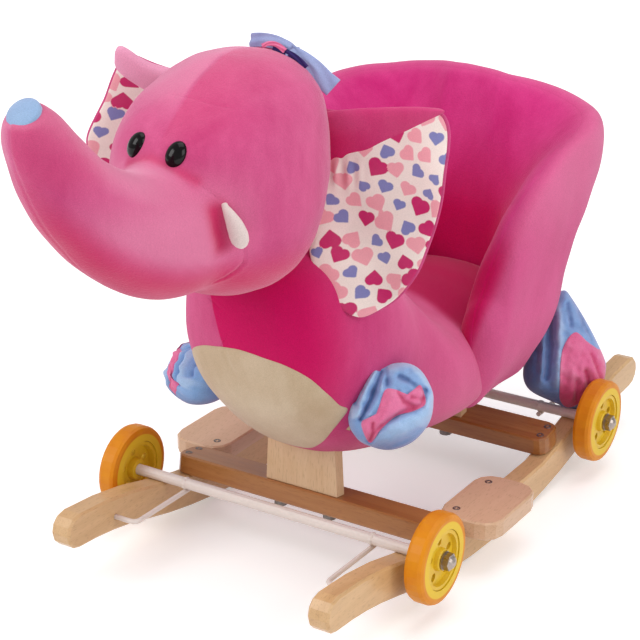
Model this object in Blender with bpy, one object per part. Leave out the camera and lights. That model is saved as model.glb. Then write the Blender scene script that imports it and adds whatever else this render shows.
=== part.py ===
"""Plush rocking elephant with a bucket seat, on wooden rockers with swing-over wheels.

The elephant faces -Y, its left side is at +X, and the rockers stand on the plane Z = 0.
All sizes are in metres. Lengths along Y are given from the middle of the rockers, and the
root empty then puts the origin under the middle of the toy's bounding box.
"""

import math

import bmesh
import bpy
from mathutils import Matrix, Vector
from mathutils.bvhtree import BVHTree

# Clearances
GAP = 0.0003            # between pieces that touch
RUNNING_GAP = 0.0003    # between a turning piece and its shaft or hole

# Rockers
ROCKER_LENGTH = 0.600
ROCKER_THICKNESS = 0.020
ROCKER_OUTER_X = 0.140
ROCKER_DEPTH = 0.0315
ROCK_RADIUS = 0.700
ROCKER_FLAT = 0.040     # short level stretch in the middle of the underside
ROCKER_ARC_END = 0.190  # distance from the middle at which the rocking arc runs out
ROCKER_EDGE = 0.002

# Crossbars
BAR_HALF_LENGTH = 0.137
BAR_WIDTH = 0.035
BAR_THICKNESS = 0.0185
BAR_Y = 0.1095
BAR_CORNER = 0.011

# Footrests
FOOTREST_INNER_X = 0.115
FOOTREST_OUTER_X = 0.174
FOOTREST_FRONT_Y = -0.084
FOOTREST_REAR_Y = 0.008
FOOTREST_SEAT_Z = 0.036
FOOTREST_THICKNESS = 0.017
FOOTREST_CORNER = 0.019

# Posts and boards inside the plush
POST_THICKNESS = 0.012
FRONT_POST_Y = -0.115
FRONT_POST_FOOT = 0.038     # half width at the crossbar
FRONT_POST_HEAD = 0.033     # half width at the seat board
REAR_POST_Y = 0.100
REAR_POST_FOOT = 0.046
REAR_POST_HEAD = 0.041
SEAT_BOARD_Z = 0.146
SEAT_BOARD_THICKNESS = 0.012
SEAT_BOARD_HALF_WIDTH = 0.068
SEAT_BOARD_FRONT_Y = -0.150
BACK_BOARD_THICKNESS = 0.009
BACK_BOARD_HALF_WIDTH = 0.062
BACK_BOARD_HEIGHT = 0.150
BACK_BOARD_Y = 0.166        # front face of the backrest board at its foot
BACK_BOARD_LEAN = 0.018     # how far its top lies behind its foot

# Bolts that hold the posts
BOLT_X = 0.026
BOLT_SHANK_RADIUS = 0.003
BOLT_HEAD_RADIUS = 0.0062
BOLT_HEAD_HEIGHT = 0.0045
BOLT_GRIP = 0.030           # how far a bolt reaches into its post

# Wheels and their swing-over frames
WHEEL_RADIUS = 0.040
WHEEL_WIDTH = 0.018
WHEEL_OUTER_X = 0.168
TYRE_BORE_RADIUS = 0.0268
TYRE_SHOULDER = 0.0040
HUB_FACE_WIDTH = 0.016
HUB_RIM = 0.0032
HUB_WEB = 0.006
HUB_BOSS_RADIUS = 0.0095
HUB_WINDOWS = 5
HUB_WINDOW_WIDTH = 0.0062
HUB_WINDOW_INNER = 0.0125
HUB_WINDOW_OUTER = 0.0205
AXLE_Y = 0.1614
AXLE_RADIUS = 0.005
STAY_RADIUS = 0.0023
STAY_X = 0.098
PIVOT_Y = 0.236
PIVOT_Z = 0.0495
HOOK_DEPTH = 0.015          # how far a stay's hook reaches into its rocker
NUT_RADIUS = 0.0078
NUT_HEIGHT = 0.0068
NUT_DOME = 0.0035
WASHER_RADIUS = 0.0085
WASHER_THICKNESS = 0.0012

# Handle
HANDLE_RADIUS = 0.0105
HANDLE_HALF_LENGTH = 0.116
HANDLE_Y = -0.128
HANDLE_Z = 0.322
HANDLE_KNOB_RADIUS = 0.0135
HANDLE_KNOB_LENGTH = 0.012

# Torso: chest, belly and the squab under the rider
CHEST_Y = -0.218
TORSO_REAR_Y = 0.165
BELLY_Z = 0.088
SQUAB_Z = 0.198
SHOULDER_Z = 0.318
TORSO_HALF_WIDTH = 0.100
CHEST_HALF_WIDTH = 0.080

# Seat shell: the back and arms in one wrap-around cushion
SHELL_HALF_WIDTH = 0.127
SHELL_REAR_Y = 0.214
SHELL_ARM_Y = 0.014
SHELL_THICKNESS = 0.044
SHELL_CORNER = 0.098
SHELL_ARM_Z = 0.226
SHELL_SIDE_Z = 0.359
SHELL_BACK_Z = 0.376
SHELL_BOTTOM_Z = 0.106
SHELL_CLIMB = 0.50          # how soon the rim rises behind the arms: 1 is steady
SHELL_PUFF = 0.010          # extra stuffing inside the wall at the rear corners
SHELL_SQUARENESS = 0.9      # how far the rim's corners stand out past its curve
SHELL_FLARE = 0.036         # how far the arms lean out at the rim
SHELL_TUCK = 0.020          # how far the wall is drawn in at the bottom

# Head and trunk
HEAD_Y = -0.221
HEAD_Z = 0.383
HEAD_WIDTH = 0.170
HEAD_DEPTH = 0.150
HEAD_HEIGHT = 0.192
TRUNK_BASE_RADIUS = 0.0525
TRUNK_TIP_RADIUS = 0.015
TRUNK_TIP_LENGTH = 0.006
TRUNK_TIP_Y = -0.461
TRUNK_TIP_Z = 0.487
EYE_X = 0.0195
EYE_Y = -0.3105
EYE_Z = 0.4225
EYE_WIDTH = 0.0175
EYE_HEIGHT = 0.0215
EYE_DEPTH = 0.007
TUSK_LENGTH = 0.036
TUSK_RADIUS = 0.0085
TUSK_X = 0.055
TUSK_Y = -0.310
TUSK_Z = 0.390

# Ears
EAR_ROOT_X = 0.060
EAR_ROOT_Y = -0.166
EAR_TOP_Z = 0.435
EAR_HEIGHT = 0.180
EAR_SPREAD = 0.096
EAR_THICKNESS = 0.0055
EAR_LINING = 0.002
EAR_HEM = 0.006
EAR_FOLD = 0.012            # how far the folded top edge rolls forward
LEFT_EAR_SWING = 0.20       # run back per metre out from the head
RIGHT_EAR_SWING = -0.50
RIGHT_EAR_LIFT = 0.020
RIGHT_EAR_NARROWING = 0.42
RIGHT_EAR_SPREAD = 0.110

# Feet
FRONT_FOOT_RADIUS = 0.032
REAR_FOOT_RADIUS = 0.034
FRONT_FOOT_X = 0.098
FRONT_FOOT_Y = -0.134
FRONT_FOOT_Z = 0.170
REAR_FOOT_X = 0.112
REAR_FOOT_Y = 0.180
REAR_FOOT_Z = 0.106
FRONT_FOOT_LENGTH = 0.066
REAR_FOOT_LENGTH = 0.100
PAD_THICKNESS = 0.0015
PAD_RADIUS = 0.019
PAD_WAVE = 0.16

# Belly patch and bow
PATCH_THICKNESS = 0.0015
PATCH_HALF_WIDTH = 0.0675
PATCH_HALF_HEIGHT = 0.070
PATCH_RISE = 0.010
BOW_THICKNESS = 0.0015
BOW_KNOT = 0.005            # half width of the knot
BOW_LOOP_LENGTH = 0.044
BOW_LOOP_HEIGHT = 0.013
BOW_WIDTH = 0.022
BOW_TAIL_LENGTH = 0.066
BOW_TAIL_RUN = 0.034        # how far the tail runs back on its way down
BOW_TAIL_LIFT = 0.011       # how far the tail stands off the head
BOW_X = 0.026
BOW_Y = -0.166

# Facet counts
TYRE_SEGMENTS = 36
HUB_SEGMENTS = 24
ROD_SEGMENTS = 12
BOLT_SEGMENTS = 10
PLUSH_SEGMENTS = 20


# Scene, materials and parenting

for item in list(bpy.data.objects):
    bpy.data.objects.remove(item, do_unlink=True)


def material(name, colour, roughness, metallic=0.0):
    """A Principled material with one colour."""
    made = bpy.data.materials.new(name)
    made.use_nodes = True
    shader = made.node_tree.nodes["Principled BSDF"]
    shader.inputs["Base Color"].default_value = (*colour, 1.0)
    shader.inputs["Roughness"].default_value = roughness
    shader.inputs["Metallic"].default_value = metallic
    return made


BEECH = material("beech", (0.63, 0.39, 0.18), 0.45)
BEECH_PALE = material("beech_pale", (0.57, 0.36, 0.22), 0.5)
BEECH_DARK = material("beech_dark", (0.33, 0.15, 0.055), 0.4)
PLYWOOD = material("plywood", (0.55, 0.40, 0.24), 0.6)
SCREW_STEEL = material("screw_steel", (0.12, 0.10, 0.09), 0.35, 0.9)
NUT_CHROME = material("nut_chrome", (0.75, 0.75, 0.76), 0.2, 1.0)
PAINTED_WIRE = material("painted_wire", (0.62, 0.55, 0.52), 0.35)
TYRE_ORANGE = material("tyre_orange", (0.66, 0.29, 0.01), 0.4)
HUB_YELLOW = material("hub_yellow", (0.67, 0.50, 0.08), 0.4)
PLUSH_PINK = material("plush_pink", (0.60, 0.09, 0.26), 0.9)
PLUSH_ROSE = material("plush_rose", (0.50, 0.05, 0.21), 0.9)
PLUSH_BLUE = material("plush_blue", (0.22, 0.33, 0.55), 0.9)
PLUSH_PAD = material("plush_pad", (0.68, 0.17, 0.38), 0.9)
FELT_WHITE = material("felt_white", (0.74, 0.62, 0.60), 0.95)
CREAM = material("cream", (0.56, 0.44, 0.30), 0.9)
PRINT = material("print", (0.72, 0.45, 0.42), 0.85)
EYE_BLACK = material("eye_black", (0.01, 0.01, 0.01), 0.08)

root = bpy.data.objects.new("root", None)
bpy.context.collection.objects.link(root)


def empty(name, location, parent=root):
    """An empty that carries a moving group on its joint axis."""
    made = bpy.data.objects.new(name, None)
    bpy.context.collection.objects.link(made)
    made.parent = parent
    made.location = location
    return made


def add(name, bm, look, parent=root, location=(0.0, 0.0, 0.0), smooth=35.0):
    """Make one named object from a bmesh."""
    bmesh.ops.remove_doubles(bm, verts=bm.verts, dist=1e-6)
    bmesh.ops.recalc_face_normals(bm, faces=bm.faces)
    mesh = bpy.data.meshes.new(name)
    bm.to_mesh(mesh)
    bm.free()
    mesh.materials.append(look)
    mesh.shade_smooth()
    mesh.set_sharp_from_angle(angle=math.radians(smooth))
    made = bpy.data.objects.new(name, mesh)
    bpy.context.collection.objects.link(made)
    made.parent = parent
    made.location = location
    return made


def guide(name, bm, parent=root, location=(0.0, 0.0, 0.0)):
    """A hidden object that only cuts."""
    made = add(name, bm, PLYWOOD, parent, location)
    made.hide_render = True
    made.display_type = "WIRE"
    return made


def cut(target, cutter, operation="DIFFERENCE"):
    """Add one exact Boolean to an object."""
    step = target.modifiers.new(operation.lower(), "BOOLEAN")
    step.operation = operation
    step.solver = "EXACT"
    step.object = cutter


def ease(target, width, segments=1, angle=50.0):
    """Round the hard edges of a board."""
    step = target.modifiers.new("ease", "BEVEL")
    step.width = width
    step.segments = segments
    step.limit_method = "ANGLE"
    step.angle_limit = math.radians(angle)


# Shape helpers

def lerp(a, b, t):
    return a + (b - a) * t


def smoothstep(t):
    t = min(max(t, 0.0), 1.0)
    return t * t * (3.0 - 2.0 * t)


def catmull(keys, count):
    """Read count points from a smooth curve through the keys, which may be tuples of any length."""
    out = []
    last = len(keys) - 1
    for index in range(count):
        place = index * last / (count - 1)
        k = min(int(place), last - 1)
        t = place - k
        p1, p2 = keys[k], keys[k + 1]
        p0 = keys[k - 1] if k > 0 else tuple(2 * a - b for a, b in zip(p1, p2))
        p3 = keys[k + 2] if k + 2 <= last else tuple(2 * b - a for a, b in zip(p1, p2))
        out.append(tuple(
            0.5 * (2 * b + (c - a) * t + (2 * a - 5 * b + 4 * c - d) * t * t
                   + (3 * b - a - 3 * c + d) * t ** 3)
            for a, b, c, d in zip(p0, p1, p2, p3)))
    return out


def ring_of(bm, points):
    return [bm.verts.new(p) for p in points]


def bridge(bm, lower, upper):
    count = len(lower)
    for i in range(count):
        j = (i + 1) % count
        bm.faces.new((lower[i], lower[j], upper[j], upper[i]))


def fan(bm, ring, point):
    tip = bm.verts.new(point)
    count = len(ring)
    for i in range(count):
        bm.faces.new((ring[i], ring[(i + 1) % count], tip))


def loft(rings, first=None, last=None):
    """Skin a list of rings. first and last are pole points; without them the end is one flat face."""
    bm = bmesh.new()
    made = [ring_of(bm, ring) for ring in rings]
    for lower, upper in zip(made, made[1:]):
        bridge(bm, lower, upper)
    for ring, pole in ((made[0], first), (made[-1], last)):
        if pole is None:
            bm.faces.new(ring)
        else:
            fan(bm, ring, pole)
    return bm


def oval(centre, across, up, half_width, half_height, count, power=2.0):
    """A superellipse ring about a centre, in the plane of two unit vectors."""
    points = []
    for i in range(count):
        angle = 2.0 * math.pi * i / count
        c, s = math.cos(angle), math.sin(angle)
        u = math.copysign(abs(c) ** (2.0 / power), c) * half_width
        v = math.copysign(abs(s) ** (2.0 / power), s) * half_height
        points.append(centre + across * u + up * v)
    return points


def tube(path, radii, count, across=Vector((1.0, 0.0, 0.0))):
    """Round rings square to a path."""
    rings = []
    for i, centre in enumerate(path):
        before = path[max(i - 1, 0)]
        after = path[min(i + 1, len(path) - 1)]
        ahead = (after - before).normalized()
        side = (across - ahead * across.dot(ahead)).normalized()
        up = ahead.cross(side)
        rings.append(oval(centre, side, up, radii[i], radii[i], count))
    return rings


def turned(profile, segments, phase=0.0):
    """Turn a closed profile of (along X, radius) points about the X axis."""
    bm = bmesh.new()
    rings = []
    for k in range(segments):
        angle = 2.0 * math.pi * (k + phase) / segments
        rings.append([bm.verts.new((a, r * math.cos(angle), r * math.sin(angle)))
                      for a, r in profile])
    count = len(profile)
    for k in range(segments):
        now, after = rings[k], rings[(k + 1) % segments]
        for i in range(count):
            j = (i + 1) % count
            bm.faces.new((now[i], now[j], after[j], after[i]))
    return bm


def rod(profile, segments):
    """Turn an open profile of (along X, radius) points about X and close both ends flat."""
    x_axis, y_axis, z_axis = Vector((1, 0, 0)), Vector((0, 1, 0)), Vector((0, 0, 1))
    return loft([oval(x_axis * a, y_axis, z_axis, r, r, segments) for a, r in profile])


def prism(outline, low, high, axis="Z"):
    """Extrude a closed outline between two heights along one axis."""
    place = {
        "X": lambda u, v, h: (h, u, v),
        "Y": lambda u, v, h: (u, h, v),
        "Z": lambda u, v, h: (u, v, h),
    }[axis]
    return loft([[place(u, v, h) for u, v in outline] for h in (low, high)])


def rounded(low_u, low_v, high_u, high_v, radius, steps=3):
    """A rectangle's outline with rounded corners."""
    points = []
    corners = ((high_u - radius, high_v - radius, 0), (low_u + radius, high_v - radius, 90),
               (low_u + radius, low_v + radius, 180), (high_u - radius, low_v + radius, 270))
    for u, v, start in corners:
        for i in range(steps + 1):
            angle = math.radians(start + 90.0 * i / steps)
            points.append((u + radius * math.cos(angle), v + radius * math.sin(angle)))
    return points


def block(low, high):
    """A plain box."""
    return prism([(low[0], low[1]), (high[0], low[1]), (high[0], high[1]), (low[0], high[1])],
                 low[2], high[2])


def mirrored(bm):
    """Mirror a bmesh in the plane X = 0."""
    bmesh.ops.scale(bm, vec=(-1.0, 1.0, 1.0), verts=bm.verts)
    bmesh.ops.reverse_faces(bm, faces=bm.faces)
    return bm


def merge(pieces):
    """Put several bmeshes into one."""
    whole = bmesh.new()
    for piece in pieces:
        mesh = bpy.data.meshes.new("piece")
        piece.to_mesh(mesh)
        piece.free()
        whole.from_mesh(mesh)
        bpy.data.meshes.remove(mesh)
    return whole


def moved(bm, matrix):
    bmesh.ops.transform(bm, matrix=matrix, verts=bm.verts)
    return bm


# Rockers

def slope(y):
    """The underside's slope at a distance from the middle."""
    y = abs(y)
    steepest = math.tan(math.asin(ROCKER_ARC_END / ROCK_RADIUS))
    if y <= ROCKER_FLAT / 2:
        return 0.0
    if y <= ROCKER_ARC_END:
        return math.tan(math.asin(y / ROCK_RADIUS))
    return steepest * (1.0 - (y - ROCKER_ARC_END) / (ROCKER_LENGTH / 2 - ROCKER_ARC_END))


def underside(y):
    """The underside's height at a distance from the middle."""
    y = abs(y)
    level = math.sqrt(ROCK_RADIUS ** 2 - (ROCKER_FLAT / 2) ** 2)
    arc = level - math.sqrt(ROCK_RADIUS ** 2 - min(max(y, ROCKER_FLAT / 2), ROCKER_ARC_END) ** 2)
    if y <= ROCKER_ARC_END:
        return arc
    run = y - ROCKER_ARC_END
    return arc + (slope(ROCKER_ARC_END) + slope(y)) / 2 * run


BAR_TILT = math.asin(BAR_Y / ROCK_RADIUS)
BAR_SEAT_Z = underside(BAR_Y) + ROCKER_DEPTH / math.cos(BAR_TILT)
BAR_LIFT = GAP + BAR_THICKNESS / 2
BAR_CENTRE_Y = BAR_Y - BAR_LIFT * math.sin(BAR_TILT)
BAR_CENTRE_Z = BAR_SEAT_Z + BAR_LIFT * math.cos(BAR_TILT)
AXLE_Z = underside(AXLE_Y) + ROCKER_DEPTH / math.cos(math.atan(slope(AXLE_Y))) \
    + AXLE_RADIUS / math.cos(math.atan(slope(AXLE_Y))) + GAP


def rocker_outline():
    """Side view of a rocker: rocking arc below, level and tilted seats above, round noses."""
    nose = ROCKER_DEPTH / 2
    last = ROCKER_LENGTH / 2 - nose
    ahead = [ROCKER_FLAT / 2]
    ahead += [lerp(ROCKER_FLAT / 2, ROCKER_ARC_END, i / 5) for i in range(1, 6)]
    ahead += [lerp(ROCKER_ARC_END, last, i / 4) for i in range(1, 5)]
    below = [(y, underside(y)) for y in ahead]
    middle_z = underside(last) + nose
    rounded_nose = [(last + nose * math.sin(a), middle_z - nose * math.cos(a))
                    for a in (math.radians(180 * i / 6) for i in range(1, 6))]
    above = []
    for i in range(4, -1, -1):
        y = lerp(0.142, last, i / 4)
        tilt = math.atan(slope(y))
        above.append((y - ROCKER_DEPTH * math.sin(tilt), underside(y) + ROCKER_DEPTH * math.cos(tilt)))
    half = BAR_WIDTH / 2 + 0.0015
    for step in (half, -half):
        above.append((BAR_Y + step * math.cos(BAR_TILT), BAR_SEAT_Z + step * math.sin(BAR_TILT)))
    above.append((-FOOTREST_FRONT_Y + 0.002, FOOTREST_SEAT_Z))
    side = below + rounded_nose + above
    return side + [(-y, z) for y, z in reversed(side)]


hook_hole_radius = (STAY_RADIUS + RUNNING_GAP) / math.cos(math.pi / ROD_SEGMENTS)
rocker_inner_x = ROCKER_OUTER_X - ROCKER_THICKNESS
hook_holes = guide("hook_holes", merge([
    moved(rod([(-rocker_inner_x - HOOK_DEPTH - 0.001, hook_hole_radius),
               (rocker_inner_x + HOOK_DEPTH + 0.001, hook_hole_radius)], ROD_SEGMENTS),
          Matrix.Translation((0.0, end * PIVOT_Y, PIVOT_Z))) for end in (-1, 1)]))

for side, name in ((1, "rocker_left"), (-1, "rocker_right")):
    low, high = sorted((side * rocker_inner_x, side * ROCKER_OUTER_X))
    rocker = add(name, prism(rocker_outline(), low, high, "X"), BEECH)
    ease(rocker, ROCKER_EDGE)
    cut(rocker, hook_holes)

# Crossbars, footrests, posts and what fastens them

bolt_holes = []
bar_top_z = BAR_CENTRE_Z + BAR_THICKNESS / 2 / math.cos(BAR_TILT)
bar_under_z = BAR_CENTRE_Z - BAR_THICKNESS / 2 / math.cos(BAR_TILT)
upright = Matrix.Rotation(math.radians(-90.0), 4, "Y")
for end, post_y, name in ((-1, FRONT_POST_Y, "front"), (1, REAR_POST_Y, "rear")):
    away = (abs(post_y) - BAR_CENTRE_Y) * math.tan(BAR_TILT)
    head_z = bar_under_z + away - BOLT_HEAD_RADIUS * math.tan(BAR_TILT) - GAP
    for side, hand in ((1, "left"), (-1, "right")):
        place = Matrix.Translation((side * BOLT_X, post_y, head_z)) @ upright
        grip_z = bar_top_z + away + BOLT_GRIP - head_z
        bolt = loft([
            oval(Vector((a, 0, 0)), Vector((0, 1, 0)), Vector((0, 0, 1)), r, r, BOLT_SEGMENTS)
            for a, r in ((-BOLT_HEAD_HEIGHT, BOLT_HEAD_RADIUS), (0.0, BOLT_HEAD_RADIUS),
                         (0.0, BOLT_SHANK_RADIUS), (grip_z, BOLT_SHANK_RADIUS))])
        add(f"{name}_post_bolt_{hand}", moved(bolt, place), SCREW_STEEL)
        hole = rod([(-0.010, BOLT_SHANK_RADIUS + GAP), (grip_z + GAP, BOLT_SHANK_RADIUS + GAP)],
                   BOLT_SEGMENTS)
        bolt_holes.append(moved(hole, place))
bolt_cutter = guide("bolt_holes", merge(bolt_holes))

for end, name in ((-1, "front_crossbar"), (1, "rear_crossbar")):
    outline = rounded(-BAR_HALF_LENGTH, -BAR_WIDTH / 2, BAR_HALF_LENGTH, BAR_WIDTH / 2, BAR_CORNER)
    shape = moved(prism(outline, -BAR_THICKNESS / 2, BAR_THICKNESS / 2),
                  Matrix.Translation((0.0, end * BAR_CENTRE_Y, BAR_CENTRE_Z))
                  @ Matrix.Rotation(end * BAR_TILT, 4, "X"))
    bar = add(name, shape, BEECH_DARK)
    ease(bar, 0.0015)
    cut(bar, bolt_cutter)

footrest_base = FOOTREST_SEAT_Z + GAP
for side, name in ((1, "footrest_left"), (-1, "footrest_right")):
    low, high = sorted((side * FOOTREST_INNER_X, side * FOOTREST_OUTER_X))
    outline = rounded(low, FOOTREST_FRONT_Y, high, FOOTREST_REAR_Y, FOOTREST_CORNER)
    plank = add(name, prism(outline, footrest_base, footrest_base + FOOTREST_THICKNESS), BEECH_PALE)
    ease(plank, 0.0015)


def post_outline(foot, head, grow=0.0):
    """Front view of a tapered post, from the crossbar to the seat board."""
    base = bar_top_z - 0.010
    return [(-foot - grow, base), (foot + grow, base), (head + grow, SEAT_BOARD_Z - GAP + grow),
            (-head - grow, SEAT_BOARD_Z - GAP + grow)]


def post_shape(post_y, foot, head, grow=0.0):
    half = POST_THICKNESS / 2 + grow
    return prism(post_outline(foot, head, grow), post_y - half, post_y + half, "Y")


bar_room = guide("bar_room", merge([
    moved(block((-BAR_HALF_LENGTH, -BAR_WIDTH, -0.06), (BAR_HALF_LENGTH, BAR_WIDTH, BAR_THICKNESS / 2 + GAP)),
          Matrix.Translation((0.0, end * BAR_CENTRE_Y, BAR_CENTRE_Z))
          @ Matrix.Rotation(end * BAR_TILT, 4, "X")) for end in (-1, 1)]))
for name, post_y, foot, head in (("front_post", FRONT_POST_Y, FRONT_POST_FOOT, FRONT_POST_HEAD),
                                 ("rear_post", REAR_POST_Y, REAR_POST_FOOT, REAR_POST_HEAD)):
    post = add(name, post_shape(post_y, foot, head), BEECH_PALE)
    cut(post, bar_room)
    cut(post, bolt_cutter)

# Boards inside the plush

SEAT_BOARD_TOP = SEAT_BOARD_Z + SEAT_BOARD_THICKNESS
BACK_BOARD_BASE = SEAT_BOARD_TOP + GAP
SEAT_BOARD_REAR = BACK_BOARD_Y + BACK_BOARD_THICKNESS


def seat_board_shape(grow):
    return block((-SEAT_BOARD_HALF_WIDTH - grow, SEAT_BOARD_FRONT_Y - grow, SEAT_BOARD_Z - grow),
                 (SEAT_BOARD_HALF_WIDTH + grow, SEAT_BOARD_REAR + grow, SEAT_BOARD_TOP + grow))


def back_board_shape(grow):
    front, rear = BACK_BOARD_Y - grow, SEAT_BOARD_REAR + grow
    low, high = BACK_BOARD_BASE - grow, BACK_BOARD_BASE + BACK_BOARD_HEIGHT + grow
    outline = [(front, low), (rear, low), (rear + BACK_BOARD_LEAN, high), (front + BACK_BOARD_LEAN, high)]
    return prism(outline, -BACK_BOARD_HALF_WIDTH - grow, BACK_BOARD_HALF_WIDTH + grow, "X")


add("seat_board", seat_board_shape(0.0), PLYWOOD)
add("backrest_board", back_board_shape(0.0), PLYWOOD)
frame_room = guide("frame_room", post_shape(FRONT_POST_Y, FRONT_POST_FOOT, FRONT_POST_HEAD, GAP))
rear_post_room = guide("rear_post_room", post_shape(REAR_POST_Y, REAR_POST_FOOT, REAR_POST_HEAD, GAP))
seat_board_room = guide("seat_board_room", seat_board_shape(GAP))
back_board_room = guide("back_board_room", back_board_shape(GAP))

# Handle

knob = HANDLE_HALF_LENGTH - HANDLE_KNOB_LENGTH
handle_profile = [(-HANDLE_HALF_LENGTH, HANDLE_RADIUS * 0.7), (-HANDLE_HALF_LENGTH + 0.003, HANDLE_KNOB_RADIUS),
                  (-knob, HANDLE_KNOB_RADIUS), (-knob + 0.003, HANDLE_RADIUS),
                  (knob - 0.003, HANDLE_RADIUS), (knob, HANDLE_KNOB_RADIUS),
                  (HANDLE_HALF_LENGTH - 0.003, HANDLE_KNOB_RADIUS), (HANDLE_HALF_LENGTH, HANDLE_RADIUS * 0.7)]
handle_place = Matrix.Translation((0.0, HANDLE_Y, HANDLE_Z))
add("handle_bar", moved(rod(handle_profile, 16), handle_place), BEECH)
handle_room = guide("handle_room", moved(
    rod([(-0.2, HANDLE_RADIUS + GAP), (0.2, HANDLE_RADIUS + GAP)], 16), handle_place))

# Wheels and swing-over frames


def tyre_shape():
    half = WHEEL_WIDTH / 2
    rim, soft = WHEEL_RADIUS, TYRE_SHOULDER
    return turned([(-half, TYRE_BORE_RADIUS), (half, TYRE_BORE_RADIUS), (half, rim - soft),
                   (half - soft * 0.3, rim - soft * 0.3), (half - soft, rim),
                   (-half + soft, rim), (-half + soft * 0.3, rim - soft * 0.3), (-half, rim - soft)],
                  TYRE_SEGMENTS)


def hub_shape():
    """A hub with a rim, a thin web and a boss, its outer face at +X."""
    half = HUB_FACE_WIDTH / 2
    rim = (TYRE_BORE_RADIUS - GAP) * math.cos(math.pi / TYRE_SEGMENTS)
    bore = (AXLE_RADIUS + RUNNING_GAP) / math.cos(math.pi / HUB_SEGMENTS)
    web = half - 0.004
    boss = HUB_BOSS_RADIUS
    return turned([(-half, bore), (half + 0.0005, bore), (half + 0.0005, boss - 0.001), (half - 0.0005, boss),
                   (web, boss + 0.001), (web, rim - HUB_RIM - 0.001), (half, rim - HUB_RIM),
                   (half, rim), (-half, rim), (-half, rim - HUB_RIM), (web - HUB_WEB, rim - HUB_RIM - 0.001),
                   (web - HUB_WEB, boss + 0.001), (-half, boss)], HUB_SEGMENTS)


def hub_windows():
    """Slots round the boss, through the web."""
    slots = []
    for k in range(HUB_WINDOWS):
        outline = rounded(-HUB_WINDOW_WIDTH / 2, HUB_WINDOW_INNER, HUB_WINDOW_WIDTH / 2, HUB_WINDOW_OUTER,
                          HUB_WINDOW_WIDTH * 0.49, 2)
        turn = Matrix.Rotation(2.0 * math.pi * k / HUB_WINDOWS, 4, "X")
        slots.append(moved(prism(outline, -0.02, 0.02, "X"), turn))
    return merge(slots)


wheel_x = WHEEL_OUTER_X - WHEEL_WIDTH / 2
hub_outer = WHEEL_OUTER_X - WHEEL_WIDTH / 2 + HUB_FACE_WIDTH / 2 + 0.0005
nut_start = hub_outer + GAP
axle_half = nut_start + NUT_HEIGHT


def nut_shape(side):
    """A domed cap nut with a flange, drilled for the axle's end."""
    rings = []
    levels = ((0.0, WASHER_RADIUS, 0.0), (WASHER_THICKNESS, WASHER_RADIUS, 0.0),
              (WASHER_THICKNESS, NUT_RADIUS, 1.0), (NUT_HEIGHT, NUT_RADIUS, 1.0),
              (NUT_HEIGHT + NUT_DOME * 0.1, NUT_RADIUS * 0.80, 0.0),
              (NUT_HEIGHT + NUT_DOME * 0.6, NUT_RADIUS * 0.62, 0.0),
              (NUT_HEIGHT + NUT_DOME, NUT_RADIUS * 0.28, 0.0))
    for height, radius, hexed in levels:
        ring = []
        for i in range(12):
            angle = math.pi * i / 6
            r = radius * (1.0 - hexed * (i % 2) * (1.0 - math.cos(math.pi / 6)))
            ring.append(Vector((nut_start + height, r * math.cos(angle), r * math.sin(angle))))
        rings.append(ring)
    nut = loft(rings)
    return mirrored(nut) if side < 0 else nut


def stay_shape(side, end):
    """A wire from under the axle to the pivot, hooked outward into the rocker."""
    weld = Vector((STAY_X, end * (AXLE_Y + 0.002), AXLE_Z - AXLE_RADIUS - STAY_RADIUS - GAP))
    bend = Vector((STAY_X, end * PIVOT_Y, PIVOT_Z))
    run = (bend - weld).normalized()
    soft = STAY_RADIUS * 2.6
    path = [weld - run * 0.006, weld, bend - run * soft]
    for angle in (30, 60):
        a = math.radians(angle)
        path.append(bend - run * soft * (1 - math.sin(a)) + Vector((soft * (1 - math.cos(a)), 0, 0)))
    path.append(bend + Vector((soft, 0, 0)))
    path.append(Vector((rocker_inner_x + HOOK_DEPTH, end * PIVOT_Y, PIVOT_Z)))
    if side < 0:
        path = [Vector((-p.x, p.y, p.z)) for p in path]
    return loft(tube(path, [STAY_RADIUS] * len(path), 10, Vector((0.0, 0.0, 1.0))))


for end, name in ((-1, "front"), (1, "rear")):
    pivot = empty(name + "_frame_pivot", (0.0, end * PIVOT_Y, PIVOT_Z))
    back = (0.0, -end * PIVOT_Y, -PIVOT_Z)
    axle = rod([(-axle_half, AXLE_RADIUS), (axle_half, AXLE_RADIUS)], ROD_SEGMENTS)
    place = Matrix.Translation((0.0, end * AXLE_Y, AXLE_Z))
    add(name + "_axle", moved(axle, place), PAINTED_WIRE, pivot, back)
    for side, hand in ((1, "left"), (-1, "right")):
        add(f"{name}_stay_{hand}", stay_shape(side, end), PAINTED_WIRE, pivot, back)
    nut_bore = guide(name + "_nut_bore", moved(
        rod([(-axle_half - GAP, AXLE_RADIUS + GAP), (axle_half + GAP, AXLE_RADIUS + GAP)], ROD_SEGMENTS),
        place), pivot, back)
    for side, hand in ((1, "left"), (-1, "right")):
        nut = add(f"{name}_axle_nut_{hand}", moved(nut_shape(side), place), NUT_CHROME, pivot, back)
        cut(nut, nut_bore)
    for side, hand in ((1, "left"), (-1, "right")):
        centre = empty(f"{name}_wheel_{hand}_axis",
                       (side * wheel_x, end * (AXLE_Y - PIVOT_Y), AXLE_Z - PIVOT_Z), pivot)
        tyre = tyre_shape()
        hub = hub_shape()
        if side < 0:
            mirrored(tyre)
            mirrored(hub)
        add(f"{name}_tyre_{hand}", tyre, TYRE_ORANGE, centre)
        wheel_hub = add(f"{name}_hub_{hand}", hub, HUB_YELLOW, centre)
        cut(wheel_hub, guide(f"{name}_windows_{hand}", hub_windows(), centre))

# Torso


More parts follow.
